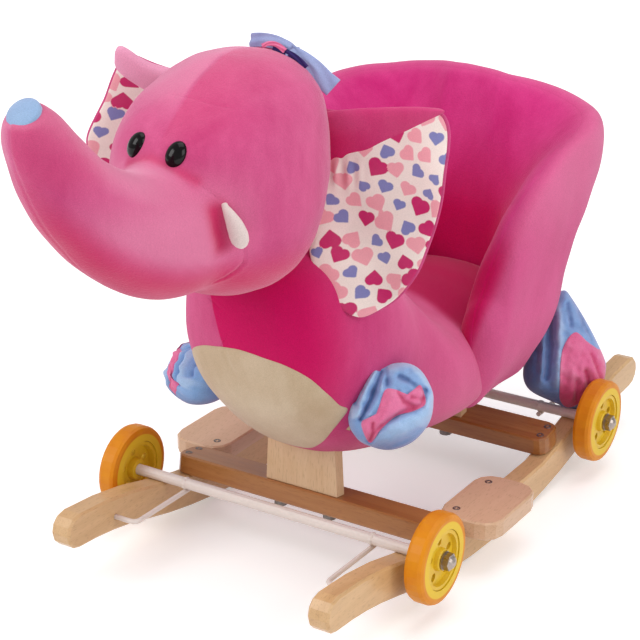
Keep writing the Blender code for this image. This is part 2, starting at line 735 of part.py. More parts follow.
def torso_shape(grow):
    """Chest, shoulders, belly and squab: upright ovals along Y."""
    length = TORSO_REAR_Y - CHEST_Y
    middle = (BELLY_Z + SQUAB_Z) / 2
    keys = [
        # y, lowest z, highest z, half width
        (CHEST_Y + 0.004, 0.225, 0.280, CHEST_HALF_WIDTH * 0.42),
        (CHEST_Y + 0.020, 0.178, SHOULDER_Z - 0.012, CHEST_HALF_WIDTH * 0.80),
        (CHEST_Y + 0.048, 0.140, SHOULDER_Z + 0.004, CHEST_HALF_WIDTH),
        (CHEST_Y + 0.080, 0.112, SHOULDER_Z + 0.014, CHEST_HALF_WIDTH * 1.10),
        (CHEST_Y + 0.112, BELLY_Z + 0.008, SHOULDER_Z - 0.004, TORSO_HALF_WIDTH * 0.94),
        (CHEST_Y + 0.150, BELLY_Z, SHOULDER_Z - 0.052, TORSO_HALF_WIDTH * 0.98),
        (CHEST_Y + 0.190, BELLY_Z, SQUAB_Z + 0.022, TORSO_HALF_WIDTH),
        (CHEST_Y + 0.235, BELLY_Z, SQUAB_Z + 0.002, TORSO_HALF_WIDTH),
        (lerp(CHEST_Y, TORSO_REAR_Y, 0.75), BELLY_Z, SQUAB_Z, TORSO_HALF_WIDTH * 0.97),
        (TORSO_REAR_Y - 0.045, BELLY_Z + 0.004, SQUAB_Z, TORSO_HALF_WIDTH * 0.90),
        (TORSO_REAR_Y - 0.014, BELLY_Z + 0.020, SQUAB_Z - 0.008, TORSO_HALF_WIDTH * 0.76),
        (TORSO_REAR_Y - 0.002, BELLY_Z + 0.040, SQUAB_Z - 0.030, TORSO_HALF_WIDTH * 0.46),
    ]
    rings = []
    for y, low, high, half in catmull(keys, 20):
        rings.append(oval(Vector((0.0, y, (low + high) / 2)), Vector((1, 0, 0)), Vector((0, 0, 1)),
                          half + grow, (high - low) / 2 + grow, PLUSH_SEGMENTS + 2, 2.35))
    return loft(rings, (0.0, CHEST_Y - grow, 0.2525), (0.0, TORSO_REAR_Y + grow, middle))


torso = add("torso", torso_shape(0.0), PLUSH_PINK, smooth=60.0)
torso_room = guide("torso_room", torso_shape(GAP * 1.6))
for cutter in (frame_room, rear_post_room, seat_board_room, handle_room):
    cut(torso, cutter)


# Seat shell

def shell_path(t):
    """Middle line of the shell in plan, from the left arm's front (0) round the back to the right (1).

    Returns a point and the outward direction.
    """
    half = SHELL_HALF_WIDTH - SHELL_THICKNESS / 2
    rear = SHELL_REAR_Y - SHELL_THICKNESS / 2
    radius = SHELL_CORNER - SHELL_THICKNESS / 2
    arm = rear - radius - SHELL_ARM_Y
    bend = radius * math.pi / 2
    across = 2 * (half - radius)
    run = t * (2 * arm + 2 * bend + across)
    if run <= arm:
        return Vector((half, SHELL_ARM_Y + run, 0.0)), Vector((1.0, 0.0, 0.0))
    run -= arm
    if run <= bend:
        a = run / radius
        return (Vector((half - radius + radius * math.cos(a), rear - radius + radius * math.sin(a), 0.0)),
                Vector((math.cos(a), math.sin(a), 0.0)))
    run -= bend
    if run <= across:
        return Vector((half - radius - run, rear, 0.0)), Vector((0.0, 1.0, 0.0))
    run -= across
    if run <= bend:
        a = math.pi / 2 + run / radius
        return (Vector((radius - half + radius * math.cos(a), rear - radius + radius * math.sin(a), 0.0)),
                Vector((math.cos(a), math.sin(a), 0.0)))
    run -= bend
    return Vector((-half, rear - radius - run, 0.0)), Vector((-1.0, 0.0, 0.0))


def shell_rim(turn):
    """Height of the rim from an arm's front (0) to the middle of the back (1)."""
    climb = math.sin(math.pi / 2 * min(turn / 0.62, 1.0)) ** SHELL_CLIMB
    return lerp(SHELL_ARM_Z, SHELL_SIDE_Z, climb) + (SHELL_BACK_Z - SHELL_SIDE_Z) * smoothstep((turn - 0.58) / 0.37)


def shell_ring(t, squeeze, grow):
    """One upright section of the shell: a puffed wall, drawn in at the bottom and round at the rim."""
    point, out = shell_path(t)
    turn = 1.0 - abs(2.0 * t - 1.0)
    top = shell_rim(turn)
    puff = SHELL_PUFF * math.exp(-((turn - 0.56) / 0.28) ** 2)
    low = SHELL_BOTTOM_Z
    middle = (top + low) / 2
    ring = []
    count = PLUSH_SEGMENTS - 4
    for i in range(count):
        angle = 2.0 * math.pi * i / count
        across = math.cos(angle)
        up = math.sin(angle)
        height = math.copysign(abs(up) ** 0.72, up)
        z = middle + ((top - low) / 2 * squeeze + grow) * height
        level = (z - low) / (SHELL_BACK_Z - low)
        tuck = -SHELL_TUCK * (1.0 - smoothstep(level / 0.34)) ** 1.5
        lean = 0.25 + 0.75 * abs(out.x) + SHELL_SQUARENESS * abs(out.x * out.y)
        flare = SHELL_FLARE * smoothstep((level - 0.30) / 0.75) * lean
        half = (SHELL_THICKNESS / 2 * squeeze + grow) * math.copysign(abs(across) ** 0.9, across)
        inside = puff * max(-across, 0.0) ** 1.3 * smoothstep(level / 0.6) * squeeze
        ring.append(point + out * (half + tuck + flare - inside) + Vector((0.0, 0.0, z)))
    return ring


def shell_shape(grow):
    count = 21
    rings = []
    ends = Vector((0.0, -0.5 * SHELL_THICKNESS, 0.0))
    for squeeze, forward in ((0.55, 0.92), (0.86, 0.55)):
        rings.append([p + ends * forward for p in shell_ring(0.0, squeeze, grow)])
    rings += [shell_ring(i / (count - 1), 1.0, grow) for i in range(count)]
    for squeeze, forward in ((0.86, 0.55), (0.55, 0.92)):
        rings.append([p + ends * forward for p in shell_ring(1.0, squeeze, grow)])
    first = sum(rings[0], Vector()) / len(rings[0]) + ends * 0.12
    last = sum(rings[-1], Vector()) / len(rings[-1]) + ends * 0.12
    return loft(rings, first, last)


shell = add("seat_shell", shell_shape(0.0), PLUSH_ROSE, smooth=60.0)
for cutter in (torso_room, seat_board_room, back_board_room):
    cut(shell, cutter)

# Head and trunk


def head_shape(grow):
    """Level ovals from chin to crown, fullest at the cheeks."""
    keys = [
        # share of the height, forward shift, share of width, share of depth
        (0.025, -0.014, 0.34, 0.34),
        (0.10, -0.017, 0.64, 0.67),
        (0.24, -0.020, 0.88, 0.95),
        (0.40, -0.018, 0.99, 1.11),
        (0.56, -0.014, 1.00, 1.17),
        (0.72, -0.008, 0.93, 1.12),
        (0.85, 0.004, 0.785, 0.90),
        (0.94, 0.0115, 0.52, 0.58),
        (0.985, 0.0145, 0.27, 0.30),
    ]
    low = HEAD_Z - HEAD_HEIGHT / 2
    rings = []
    for share, shift, wide, deep in catmull(keys, 14):
        rings.append(oval(Vector((0.0, HEAD_Y + shift, low + share * HEAD_HEIGHT)),
                          Vector((1, 0, 0)), Vector((0, 1, 0)),
                          wide * HEAD_WIDTH / 2 + grow, deep * HEAD_DEPTH / 2 + grow, PLUSH_SEGMENTS))
    return loft(rings, (0.0, HEAD_Y - 0.014, low - grow), (0.0, HEAD_Y + 0.015, low + HEAD_HEIGHT + grow))


head = add("head", head_shape(0.0), PLUSH_PINK, smooth=60.0)
head_room = guide("head_room", head_shape(GAP * 1.6))
cut(head, torso_room)
cut(head, handle_room)

TRUNK_KEYS = [
    # y, z, share of the way from base radius to tip radius
    (-0.232, 0.358, 0.03),
    (-0.275, 0.359, 0.01),
    (-0.320, 0.362, 0.03),
    (-0.3668, 0.379, 0.265),
    (-0.413, 0.413, 0.505),
    (-0.438, 0.4465, 0.65),
    (-0.453, 0.472, 0.80),
    (TRUNK_TIP_Y, TRUNK_TIP_Z, 1.0),
]


def trunk_line(count):
    line = catmull(TRUNK_KEYS, count)
    path = [Vector((0.0, y, z)) for y, z, share in line]
    radii = [lerp(TRUNK_BASE_RADIUS, TRUNK_TIP_RADIUS, share) for y, z, share in line]
    return path, radii


path, radii = trunk_line(15)
trunk = add("trunk", loft(tube(path, radii, PLUSH_SEGMENTS - 2)), PLUSH_PINK, smooth=60.0)
cut(trunk, head_room)
cut(trunk, torso_room)
ahead = (path[-1] - path[-2]).normalized()
tip_side = Vector((1.0, 0.0, 0.0))
tip_up = ahead.cross(tip_side)
tip_rings = []
for along, share in ((GAP, 1.0), (0.35, 0.98), (0.70, 0.80), (0.93, 0.45)):
    step = GAP if along == GAP else along * TRUNK_TIP_LENGTH
    tip_rings.append(oval(path[-1] + ahead * step, tip_side, tip_up, TRUNK_TIP_RADIUS * share,
                          TRUNK_TIP_RADIUS * share, PLUSH_SEGMENTS - 2))
add("trunk_tip", loft(tip_rings, None, path[-1] + ahead * TRUNK_TIP_LENGTH), PLUSH_BLUE, smooth=60.0)
trunk_room = guide("trunk_room", loft(tube(path, [r + GAP * 1.6 for r in radii], PLUSH_SEGMENTS - 2)))


def bead(centre, out, up, half_width, half_height, depth):
    """A domed oval button with its flat back at the centre."""
    side = up.cross(out).normalized()
    top = out.cross(side).normalized()
    rings = []
    for level, share in ((-1.0, 0.80), (0.0, 1.0), (0.5, 0.86), (0.85, 0.5)):
        rings.append(oval(centre + out * depth * level, side, top, half_width * share,
                          half_height * share, 12))
    return loft(rings, None, centre + out * depth)


for side, name in ((1, "eye_left"), (-1, "eye_right")):
    out = Vector((side * 0.46, -0.80, 0.34)).normalized()
    eye = add(name, bead(Vector((side * EYE_X, EYE_Y, EYE_Z)), out, Vector((0.0, 0.2, 1.0)),
                         EYE_WIDTH / 2, EYE_HEIGHT / 2, EYE_DEPTH), EYE_BLACK, smooth=60.0)
    cut(eye, trunk_room)
    cut(eye, head_room)

for side, name in ((1, "tusk_left"), (-1, "tusk_right")):
    start = Vector((side * (TUSK_X - 0.006), TUSK_Y, TUSK_Z))
    aim = Vector((side * 0.42, 0.10, -0.90)).normalized()
    line = [start + aim * (TUSK_LENGTH * s) + Vector((side * 0.004 * math.sin(s * 3.0), 0.0, 0.0))
            for s in (-0.1, 0.2, 0.45, 0.7, 0.9)]
    sizes = [TUSK_RADIUS * s for s in (0.90, 1.0, 0.95, 0.72, 0.40)]
    end_point = start + aim * TUSK_LENGTH
    tusk = add(name, loft(tube(line, sizes, 10, Vector((0.0, 1.0, 0.0))), None, end_point), FELT_WHITE,
               smooth=60.0)
    cut(tusk, trunk_room)
    cut(tusk, head_room)

# Ears

EAR_OUTLINE = [
    # share of the height from the top, inner edge and outer edge as shares of the spread
    (0.000, 0.26, 0.84),
    (0.045, -0.02, 0.98),
    (0.14, -0.14, 1.00),
    (0.34, -0.17, 0.99),
    (0.55, -0.19, 0.93),
    (0.70, -0.20, 0.83),
    (0.82, -0.10, 0.70),
    (0.93, 0.06, 0.52),
    (1.000, 0.20, 0.36),
]
EAR_PLACES = {
    # side, spread, run back per metre out from the head, lift, how much narrower at the top
    "left": (1, EAR_SPREAD, LEFT_EAR_SWING, 0.0, 0.0),
    "right": (-1, RIGHT_EAR_SPREAD, RIGHT_EAR_SWING, RIGHT_EAR_LIFT, RIGHT_EAR_NARROWING),
}


def ear_sheet(hand, back, front, hem):
    """A cupped ear between two lifts from its rear face, drawn in from its edge by a hem."""
    side, spread, swing, lift, narrowing = EAR_PLACES[hand]
    down, across = 13, 6
    layers = []
    for forward in (back, front):
        rows = []
        for i in range(down):
            share = lerp(hem / EAR_HEIGHT, 1.0 - hem / EAR_HEIGHT, i / (down - 1))
            place = share * (len(EAR_OUTLINE) - 1)
            drop, inner, outer = catmull(EAR_OUTLINE, 81)[round(place * 10)]
            drop = lerp(hem / EAR_HEIGHT, 1.0 - hem / EAR_HEIGHT, drop)
            start = inner * spread + hem
            end = outer * spread - hem
            row = []
            for j in range(across + 1):
                out = lerp(start, end, j / across) * (1.0 - narrowing * (1.0 - drop) ** 2)
                cup = 0.010 * math.sin(math.pi * j / across) * math.sin(math.pi * drop)
                roll = EAR_FOLD * (1.0 - smoothstep(drop / 0.16))
                row.append(Vector((side * (EAR_ROOT_X + out),
                                   EAR_ROOT_Y + swing * out + cup - roll - forward,
                                   EAR_TOP_Z + lift - drop * EAR_HEIGHT)))
            rows.append(row)
        layers.append(rows)
    return slab(layers[0], layers[1])


def slab(lower, upper):
    """A closed sheet between two grids of points."""
    bm = bmesh.new()
    grids = [[[bm.verts.new(p) for p in row] for row in rows] for rows in (lower, upper)]
    down, across = len(lower) - 1, len(lower[0]) - 1
    for grid in grids:
        for i in range(down):
            for j in range(across):
                bm.faces.new((grid[i][j], grid[i + 1][j], grid[i + 1][j + 1], grid[i][j + 1]))
    edge = [(i, 0) for i in range(down)] + [(down, j) for j in range(across)]
    edge += [(i, across) for i in range(down, 0, -1)] + [(0, j) for j in range(across, 0, -1)]
    for a, b in zip(edge, edge[1:] + edge[:1]):
        bm.faces.new((grids[0][a[0]][a[1]], grids[0][b[0]][b[1]], grids[1][b[0]][b[1]], grids[1][a[0]][a[1]]))
    return bm


for hand in EAR_PLACES:
    ear = add("ear_" + hand, ear_sheet(hand, 0.0, EAR_THICKNESS, 0.0), PLUSH_PINK, smooth=60.0)
    lining = add("ear_lining_" + hand,
                 ear_sheet(hand, EAR_THICKNESS / 2, EAR_THICKNESS + GAP * 4 + EAR_LINING, EAR_HEM), PRINT,
                 smooth=60.0)
    cut(lining, guide("ear_room_" + hand, ear_sheet(hand, -EAR_LINING, EAR_THICKNESS + GAP * 4, -GAP)))
    for piece in (ear, lining):
        cut(piece, head_room)
        cut(piece, torso_room)

# Pieces sewn on over a stuffed form


def sewn(name, grown, room, centre, aim, outline, look):
    """A thin piece that follows a form: the grown form inside an outline seen along an aim, less the form."""
    side = Vector((0.0, 0.0, 1.0)).cross(aim).normalized()
    top = aim.cross(side).normalized()
    piece = add(name, grown, look, smooth=60.0)
    window = loft([[centre + aim * level + side * u + top * v for u, v in outline] for level in (0.0, 0.2)])
    cut(piece, guide(name + "_window", window), "INTERSECT")
    cut(piece, room)
    return piece


patch_outline = [(PATCH_HALF_WIDTH * math.copysign(abs(math.cos(a)) ** 0.88, math.cos(a)),
                  PATCH_RISE + PATCH_HALF_HEIGHT * math.copysign(abs(math.sin(a)) ** 0.88, math.sin(a)))
                 for a in (2.0 * math.pi * i / 32 for i in range(32))]
belly_patch = sewn("belly_patch", torso_shape(GAP * 1.6 + PATCH_THICKNESS), torso_room,
                   Vector((0.0, -0.125, 0.195)), Vector((0.0, -0.80, -0.60)), patch_outline, CREAM)
cut(belly_patch, frame_room)

# Bow on the crown: a knot, a loop to each side and a tail down the left side

head_form = head_shape(0.0)
head_surface = BVHTree.FromBMesh(head_form)
head_form.free()


head_middle = Vector((0.0, HEAD_Y, HEAD_Z))


def on_head(x, y, lift):
    """A point above the head's surface, met on the way from the head's middle to a place at crown height."""
    way = Vector((x, y - HEAD_Y, HEAD_HEIGHT / 2)).normalized()
    return head_surface.ray_cast(head_middle, way)[0] + way * lift


def band(spots, low):
    """A strip of ribbon over rows of (x, y, rise) spots."""
    return slab(*([[on_head(x, y, low + rise + level) for x, y, rise in row] for row in spots]
                  for level in (0.0, BOW_THICKNESS)))


knot_way = Vector((BOW_X, BOW_Y - HEAD_Y, HEAD_HEIGHT / 2)).normalized()
head_ribbon = add("head_ribbon", bead(on_head(BOW_X, BOW_Y, 0.001), knot_way, Vector((0.0, 1.0, 0.0)),
                                      BOW_KNOT, BOW_WIDTH * 0.5, 0.006), PLUSH_BLUE, smooth=60.0)
rows = []
for i in range(9):
    share = i / 8
    x = BOW_X - lerp(BOW_KNOT * 0.5, BOW_LOOP_LENGTH, share)
    rise = BOW_LOOP_HEIGHT * math.sin(math.pi * share ** 0.75)
    half = BOW_WIDTH * lerp(0.34, 0.50, math.sin(math.pi * share / 2))
    rows.append([(x, BOW_Y + half * w, rise) for w in (-1.0, -0.35, 0.35, 1.0)])
cut(head_ribbon, guide("bow_loop", band(rows, GAP * 3)), "UNION")
rows = []
for i in range(7):
    share = i / 6
    x = BOW_X + lerp(BOW_KNOT * 0.5, BOW_TAIL_LENGTH, share)
    y = BOW_Y + lerp(0.0, BOW_TAIL_RUN, share)
    rise = BOW_TAIL_LIFT * math.sin(math.pi / 2 * min(share * 1.6, 1.0))
    half = BOW_WIDTH * lerp(0.28, 0.46, share)
    rows.append([(x, y + half * w, rise) for w in (-1.0, 0.0, 1.0)])
cut(head_ribbon, guide("bow_tail", band(rows, GAP * 3)), "UNION")
cut(head_ribbon, head_room)

# Feet


def foot_shape(centre, aim, length, radius, grow=0.0):
    """A stuffed foot that swells from a narrow leg to a round sole."""
    keys = [(-0.50, 0.60), (-0.20, 0.72), (0.15, 0.93), (0.48, 1.0), (0.76, 0.84), (0.93, 0.48)]
    path = [centre + aim * length * (s - 0.48) for s, r in keys]
    sizes = [radius * r + grow for s, r in keys]
    return loft(tube(path, sizes, 14, Vector((0.0, 1.0, 0.0))), None,
                centre + aim * (length * 0.52 + grow))


def star(mean, depth, points, count=18):
    """A wavy outline for a pad."""
    outline = []
    for i in range(count):
        angle = 2.0 * math.pi * i / count
        radius = mean * (1.0 + depth * math.cos(points * angle))
        outline.append((radius * math.cos(angle), radius * math.sin(angle)))
    return outline


shell_room = guide("shell_room", shell_shape(GAP * 1.6))
feet = (
    ("front", Vector((FRONT_FOOT_X, FRONT_FOOT_Y, FRONT_FOOT_Z)), FRONT_FOOT_RADIUS, FRONT_FOOT_LENGTH,
     Vector((0.72, -0.64, -0.16)), Vector((0.74, -0.64, 0.10))),
    ("rear", Vector((REAR_FOOT_X, REAR_FOOT_Y, REAR_FOOT_Z)), REAR_FOOT_RADIUS, REAR_FOOT_LENGTH,
     Vector((0.06, 0.22, -0.96)), Vector((0.84, -0.50, -0.16))),
)
for end, centre, radius, length, aim, pad_aim in feet:
    for side, hand in ((1, "left"), (-1, "right")):
        spot = Vector((side * centre.x, centre.y, centre.z))
        way = Vector((side * aim.x, aim.y, aim.z)).normalized()
        foot = add(f"{end}_foot_{hand}", foot_shape(spot, way, length, radius), PLUSH_BLUE, smooth=60.0)
        cut(foot, torso_room)
        cut(foot, shell_room)
        room = guide(f"{end}_foot_room_{hand}", foot_shape(spot, way, length, radius, GAP * 1.6))
        look = Vector((side * pad_aim.x, pad_aim.y, pad_aim.z)).normalized()
        sewn(f"{end}_pad_{hand}", foot_shape(spot, way, length, radius, GAP * 1.6 + PAD_THICKNESS), room, spot,
             look, star(PAD_RADIUS, PAD_WAVE, 3), PLUSH_PAD)

# Origin: on the floor, under the middle of the bounding box

bpy.context.view_layer.update()
foremost = min(corner[1] for item in (trunk, bpy.data.objects["trunk_tip"])
               for corner in (item.matrix_world @ v.co for v in item.data.vertices))
rearmost = ROCKER_LENGTH / 2
root.location.y = -(foremost + rearmost) / 2
bpy.context.view_layer.update()
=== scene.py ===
"""Looks of the plush rocking elephant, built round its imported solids.

Lengths are in metres. The elephant faces -Y and its left side is at +X. The numbers along Y
below are counted from the middle of the rockers, and at() moves them into the row frame.
"""
import math

import bmesh
import bpy
import numpy as np
from mathutils import Matrix, Vector
from mathutils.bvhtree import BVHTree


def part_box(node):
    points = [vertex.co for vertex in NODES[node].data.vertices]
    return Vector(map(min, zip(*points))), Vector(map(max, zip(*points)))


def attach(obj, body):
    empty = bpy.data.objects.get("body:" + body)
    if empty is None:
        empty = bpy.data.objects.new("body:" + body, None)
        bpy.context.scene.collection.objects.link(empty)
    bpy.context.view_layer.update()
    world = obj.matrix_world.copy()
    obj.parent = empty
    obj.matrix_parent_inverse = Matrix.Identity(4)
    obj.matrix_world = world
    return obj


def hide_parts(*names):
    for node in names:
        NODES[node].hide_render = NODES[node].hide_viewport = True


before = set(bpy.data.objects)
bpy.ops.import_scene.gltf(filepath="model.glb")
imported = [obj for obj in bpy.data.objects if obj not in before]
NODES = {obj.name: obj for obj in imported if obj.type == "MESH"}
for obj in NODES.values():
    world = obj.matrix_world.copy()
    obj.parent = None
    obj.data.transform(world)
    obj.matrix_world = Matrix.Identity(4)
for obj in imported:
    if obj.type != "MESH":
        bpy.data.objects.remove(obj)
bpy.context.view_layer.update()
BASE = "rocking_base"

rocker_low, rocker_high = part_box("rocker_left")
SHIFT = (rocker_low.y + rocker_high.y) / 2   # how far the middle of the rockers lies from the origin


def at(x, y, z):
    return Vector((x, y + SHIFT, z))


def local(points):
    return np.asarray(points, float) + np.array([0.0, SHIFT, 0.0])


def mm(rows):
    return np.array(rows, float) / 1000


def add_object(name, data):
    made = bpy.data.objects.new(name, data)
    bpy.context.scene.collection.objects.link(made)
    return made


def aimed(name, data, place, target):
    made = add_object(name, data)
    made.location = place
    made.rotation_euler = (Vector(target) - Vector(place)).to_track_quat("-Z", "Y").to_euler()
    return made


# Camera

CAMERA_PLACE = at(0.82284, -1.39164, 0.83132)
CAMERA_TARGET = at(-0.0568, 0.0, 0.1691)
camera_data = bpy.data.cameras.new("camera")
camera_data.lens = 106.56
camera_data.sensor_width = 36.0
camera_data.clip_start = 0.05
camera_data.clip_end = 50.0
camera = aimed("camera", camera_data, CAMERA_PLACE, CAMERA_TARGET)
bpy.context.scene.camera = camera


# Small numeric helpers

def lerp(a, b, t):
    return a + (b - a) * t


def smoothstep(t):
    t = np.clip(t, 0.0, 1.0)
    return t * t * (3.0 - 2.0 * t)


def rising(value, start, width):
    """From 0 at start to 1 a width further up."""
    return smoothstep((value - start) / width)


def falling(value, end, width):
    """From 1 a width below end to 0 at end."""
    return smoothstep((end - value) / width)


def circle(count):
    return np.linspace(0, 2 * math.pi, count, endpoint=False)


def catmull(keys, count):
    """Read count points from a smooth curve through rows of numbers."""
    keys = np.asarray(keys, float)
    padded = np.vstack([2 * keys[0] - keys[1], keys, 2 * keys[-1] - keys[-2]])
    place = np.linspace(0.0, len(keys) - 1, count)
    k = np.minimum(place.astype(int), len(keys) - 2)
    t = (place - k)[:, None]
    a, b, c, d = padded[k], padded[k + 1], padded[k + 2], padded[k + 3]
    square, cube = 2 * a - 5 * b + 4 * c - d, 3 * b - a - 3 * c + d
    return 0.5 * (2 * b + (c - a) * t + square * t ** 2 + cube * t ** 3)


def signed_power(values, power):
    return np.sign(values) * np.abs(values) ** power


def strongest(*shares):
    """The largest of several shares at each point, kept from 0 to 1."""
    return np.clip(np.max(shares, axis=0), 0, 1)


def bell(distance, width):
    return np.exp(-(distance / width) ** 2)


def unit(v):
    v = np.asarray(v, float)
    return v / np.linalg.norm(v, axis=-1, keepdims=True)


def wave(points, scale, seed):
    """A smooth repeatable noise from a few crossed sine waves, about -1 to 1."""
    rng = np.random.default_rng(seed)
    total = np.zeros(len(points))
    for _ in range(7):
        way = unit(rng.normal(size=3))
        total += np.sin(points @ way * (2 * math.pi / scale) * rng.uniform(0.7, 1.5) + rng.uniform(0, 6.3))
    return total / 3.2


# Meshes

def mesh_object(name, verts, faces):
    mesh = bpy.data.meshes.new(name)
    mesh.from_pydata([tuple(v) for v in verts], [], faces)
    mesh.update()
    made = add_object(name, mesh)
    outward(made)
    return made


def shape(name, rings, first=None, last=None):
    """A closed skin over rings of equal length; without a pole an end closes in its ring's middle."""
    rings = np.asarray(rings, float)
    count, around = rings.shape[:2]
    poles = [rings[0].mean(0) if first is None else first, rings[-1].mean(0) if last is None else last]
    verts = np.vstack([rings.reshape(-1, 3), *poles])
    pairs = [(j, (j + 1) % around) for j in range(around)]
    faces = [(i + j, i + k, i + around + k, i + around + j)
             for i in range(0, (count - 1) * around, around) for j, k in pairs]
    tip, row = count * around, (count - 1) * around
    faces += [(k, j, tip) for j, k in pairs]
    faces += [(row + j, row + k, tip + 1) for j, k in pairs]
    return mesh_object(name, verts, faces)


def outward(item):
    bm = bmesh.new()
    bm.from_mesh(item.data)
    bmesh.ops.recalc_face_normals(bm, faces=bm.faces)
    bm.to_mesh(item.data)
    bm.free()
    item.data.shade_smooth()


def ovals(centres, across, up, half_width, half_height, count, power=2.0):
    """Superellipse rings, one for each centre."""
    angle = circle(count)
    c, s = np.cos(angle), np.sin(angle)
    u, v = signed_power(c, 2.0 / power), signed_power(s, 2.0 / power)
    centres = np.atleast_2d(centres)
    across = np.broadcast_to(across, centres.shape)
    up = np.broadcast_to(up, centres.shape)
    half_width = np.broadcast_to(half_width, (len(centres),))
    half_height = np.broadcast_to(half_height, (len(centres),))
    return (centres[:, None] + across[:, None] * (u[None, :, None] * half_width[:, None, None])
            + up[:, None] * (v[None, :, None] * half_height[:, None, None]))


def tube(path, radii, count, across=(1.0, 0.0, 0.0), wide=1.0):
    path = np.asarray(path, float)
    ahead = unit(np.gradient(path, axis=0))
    side = np.asarray(across, float)
    side = unit(side - ahead * (ahead @ side)[:, None])
    up = np.cross(ahead, side)
    radii = np.broadcast_to(radii, (len(path),))
    return ovals(path, side, up, radii * wide, radii, count)


def coords(item):
    out = np.zeros(len(item.data.vertices) * 3)
    item.data.vertices.foreach_get("co", out)
    return out.reshape(-1, 3)


def push(points, way, amount):
    """Move points along their directions by an amount each."""
    return points + way * np.asarray(amount)[:, None]


def set_coords(item, points):
    item.data.vertices.foreach_set("co", np.asarray(points, np.float64).ravel())
    item.data.update()


def normals(item):
    out = np.zeros(len(item.data.vertices) * 3)
    item.data.vertices.foreach_get("normal", out)
    return out.reshape(-1, 3)


def relax(item, weight, rounds):
    """Smooth a mesh where weight is above zero."""
    edges = np.zeros(len(item.data.edges) * 2, np.int64)
    item.data.edges.foreach_get("vertices", edges)
    edges = edges.reshape(-1, 2)
    points = coords(item)
    degree = np.bincount(edges.ravel(), minlength=len(points)).astype(float)[:, None]
    weight = np.broadcast_to(weight, (len(points),))[:, None] * 0.6
    for _ in range(rounds):
        total = np.zeros_like(points)
        np.add.at(total, edges[:, 0], points[edges[:, 1]])
        np.add.at(total, edges[:, 1], points[edges[:, 0]])
        points = points + (total / degree - points) * weight
    set_coords(item, points)


def bake_modifiers(item):
    """Apply what modifiers an object has."""
    mesh = bpy.data.meshes.new_from_object(item.evaluated_get(bpy.context.evaluated_depsgraph_get()))
    old = item.data
    item.modifiers.clear()
    item.data = mesh
    bpy.data.meshes.remove(old)
    item.data.shade_smooth()


def remesh(item, size):
    step = item.modifiers.new("remesh", "REMESH")
    step.mode = "VOXEL"
    step.voxel_size = size
    step.use_smooth_shade = True
    bake_modifiers(item)


def joined(name, items):
    """Put several objects into one mesh."""
    bm = bmesh.new()
    for item in items:
        bm.from_mesh(item.data)
        bpy.data.objects.remove(item)
    mesh = bpy.data.meshes.new(name)
    bm.to_mesh(mesh)
    bm.free()
    made = add_object(name, mesh)
    mesh.shade_smooth()
    return made


def surface(item):
    bm = bmesh.new()
    bm.from_mesh(item.data)
    tree = BVHTree.FromBMesh(bm)
    bm.free()
    return tree


def distance_to(tree, points):
    return np.array([tree.find_nearest(Vector(p))[3] for p in points])


def attribute(item, name, values):
    made = item.data.attributes.get(name) or item.data.attributes.new(name, "FLOAT", "POINT")
    made.data.foreach_set("value", np.asarray(values, np.float32))


def line_distance(points, line):
    """Distance from points, in a plane or in space, to a line of spots."""
    line = np.asarray(line, float)
    best = np.full(len(points), 9.0)
    for a, b in zip(line[:-1], line[1:]):
        way = b - a
        t = np.clip(((points - a) @ way) / (way @ way), 0, 1)
        best = np.minimum(best, np.linalg.norm(points - a - t[:, None] * way, axis=1))
    return best


def groove(points, way, signed, window, depth, width):
    """Draw points in along way where a signed distance to a seam is small, puckered beside it."""
    side = bell(np.abs(signed) - width * 2.4, width * 1.5)
    return push(points, way, -(bell(signed, width) * depth - side * depth * 0.30) * window)


# Materials

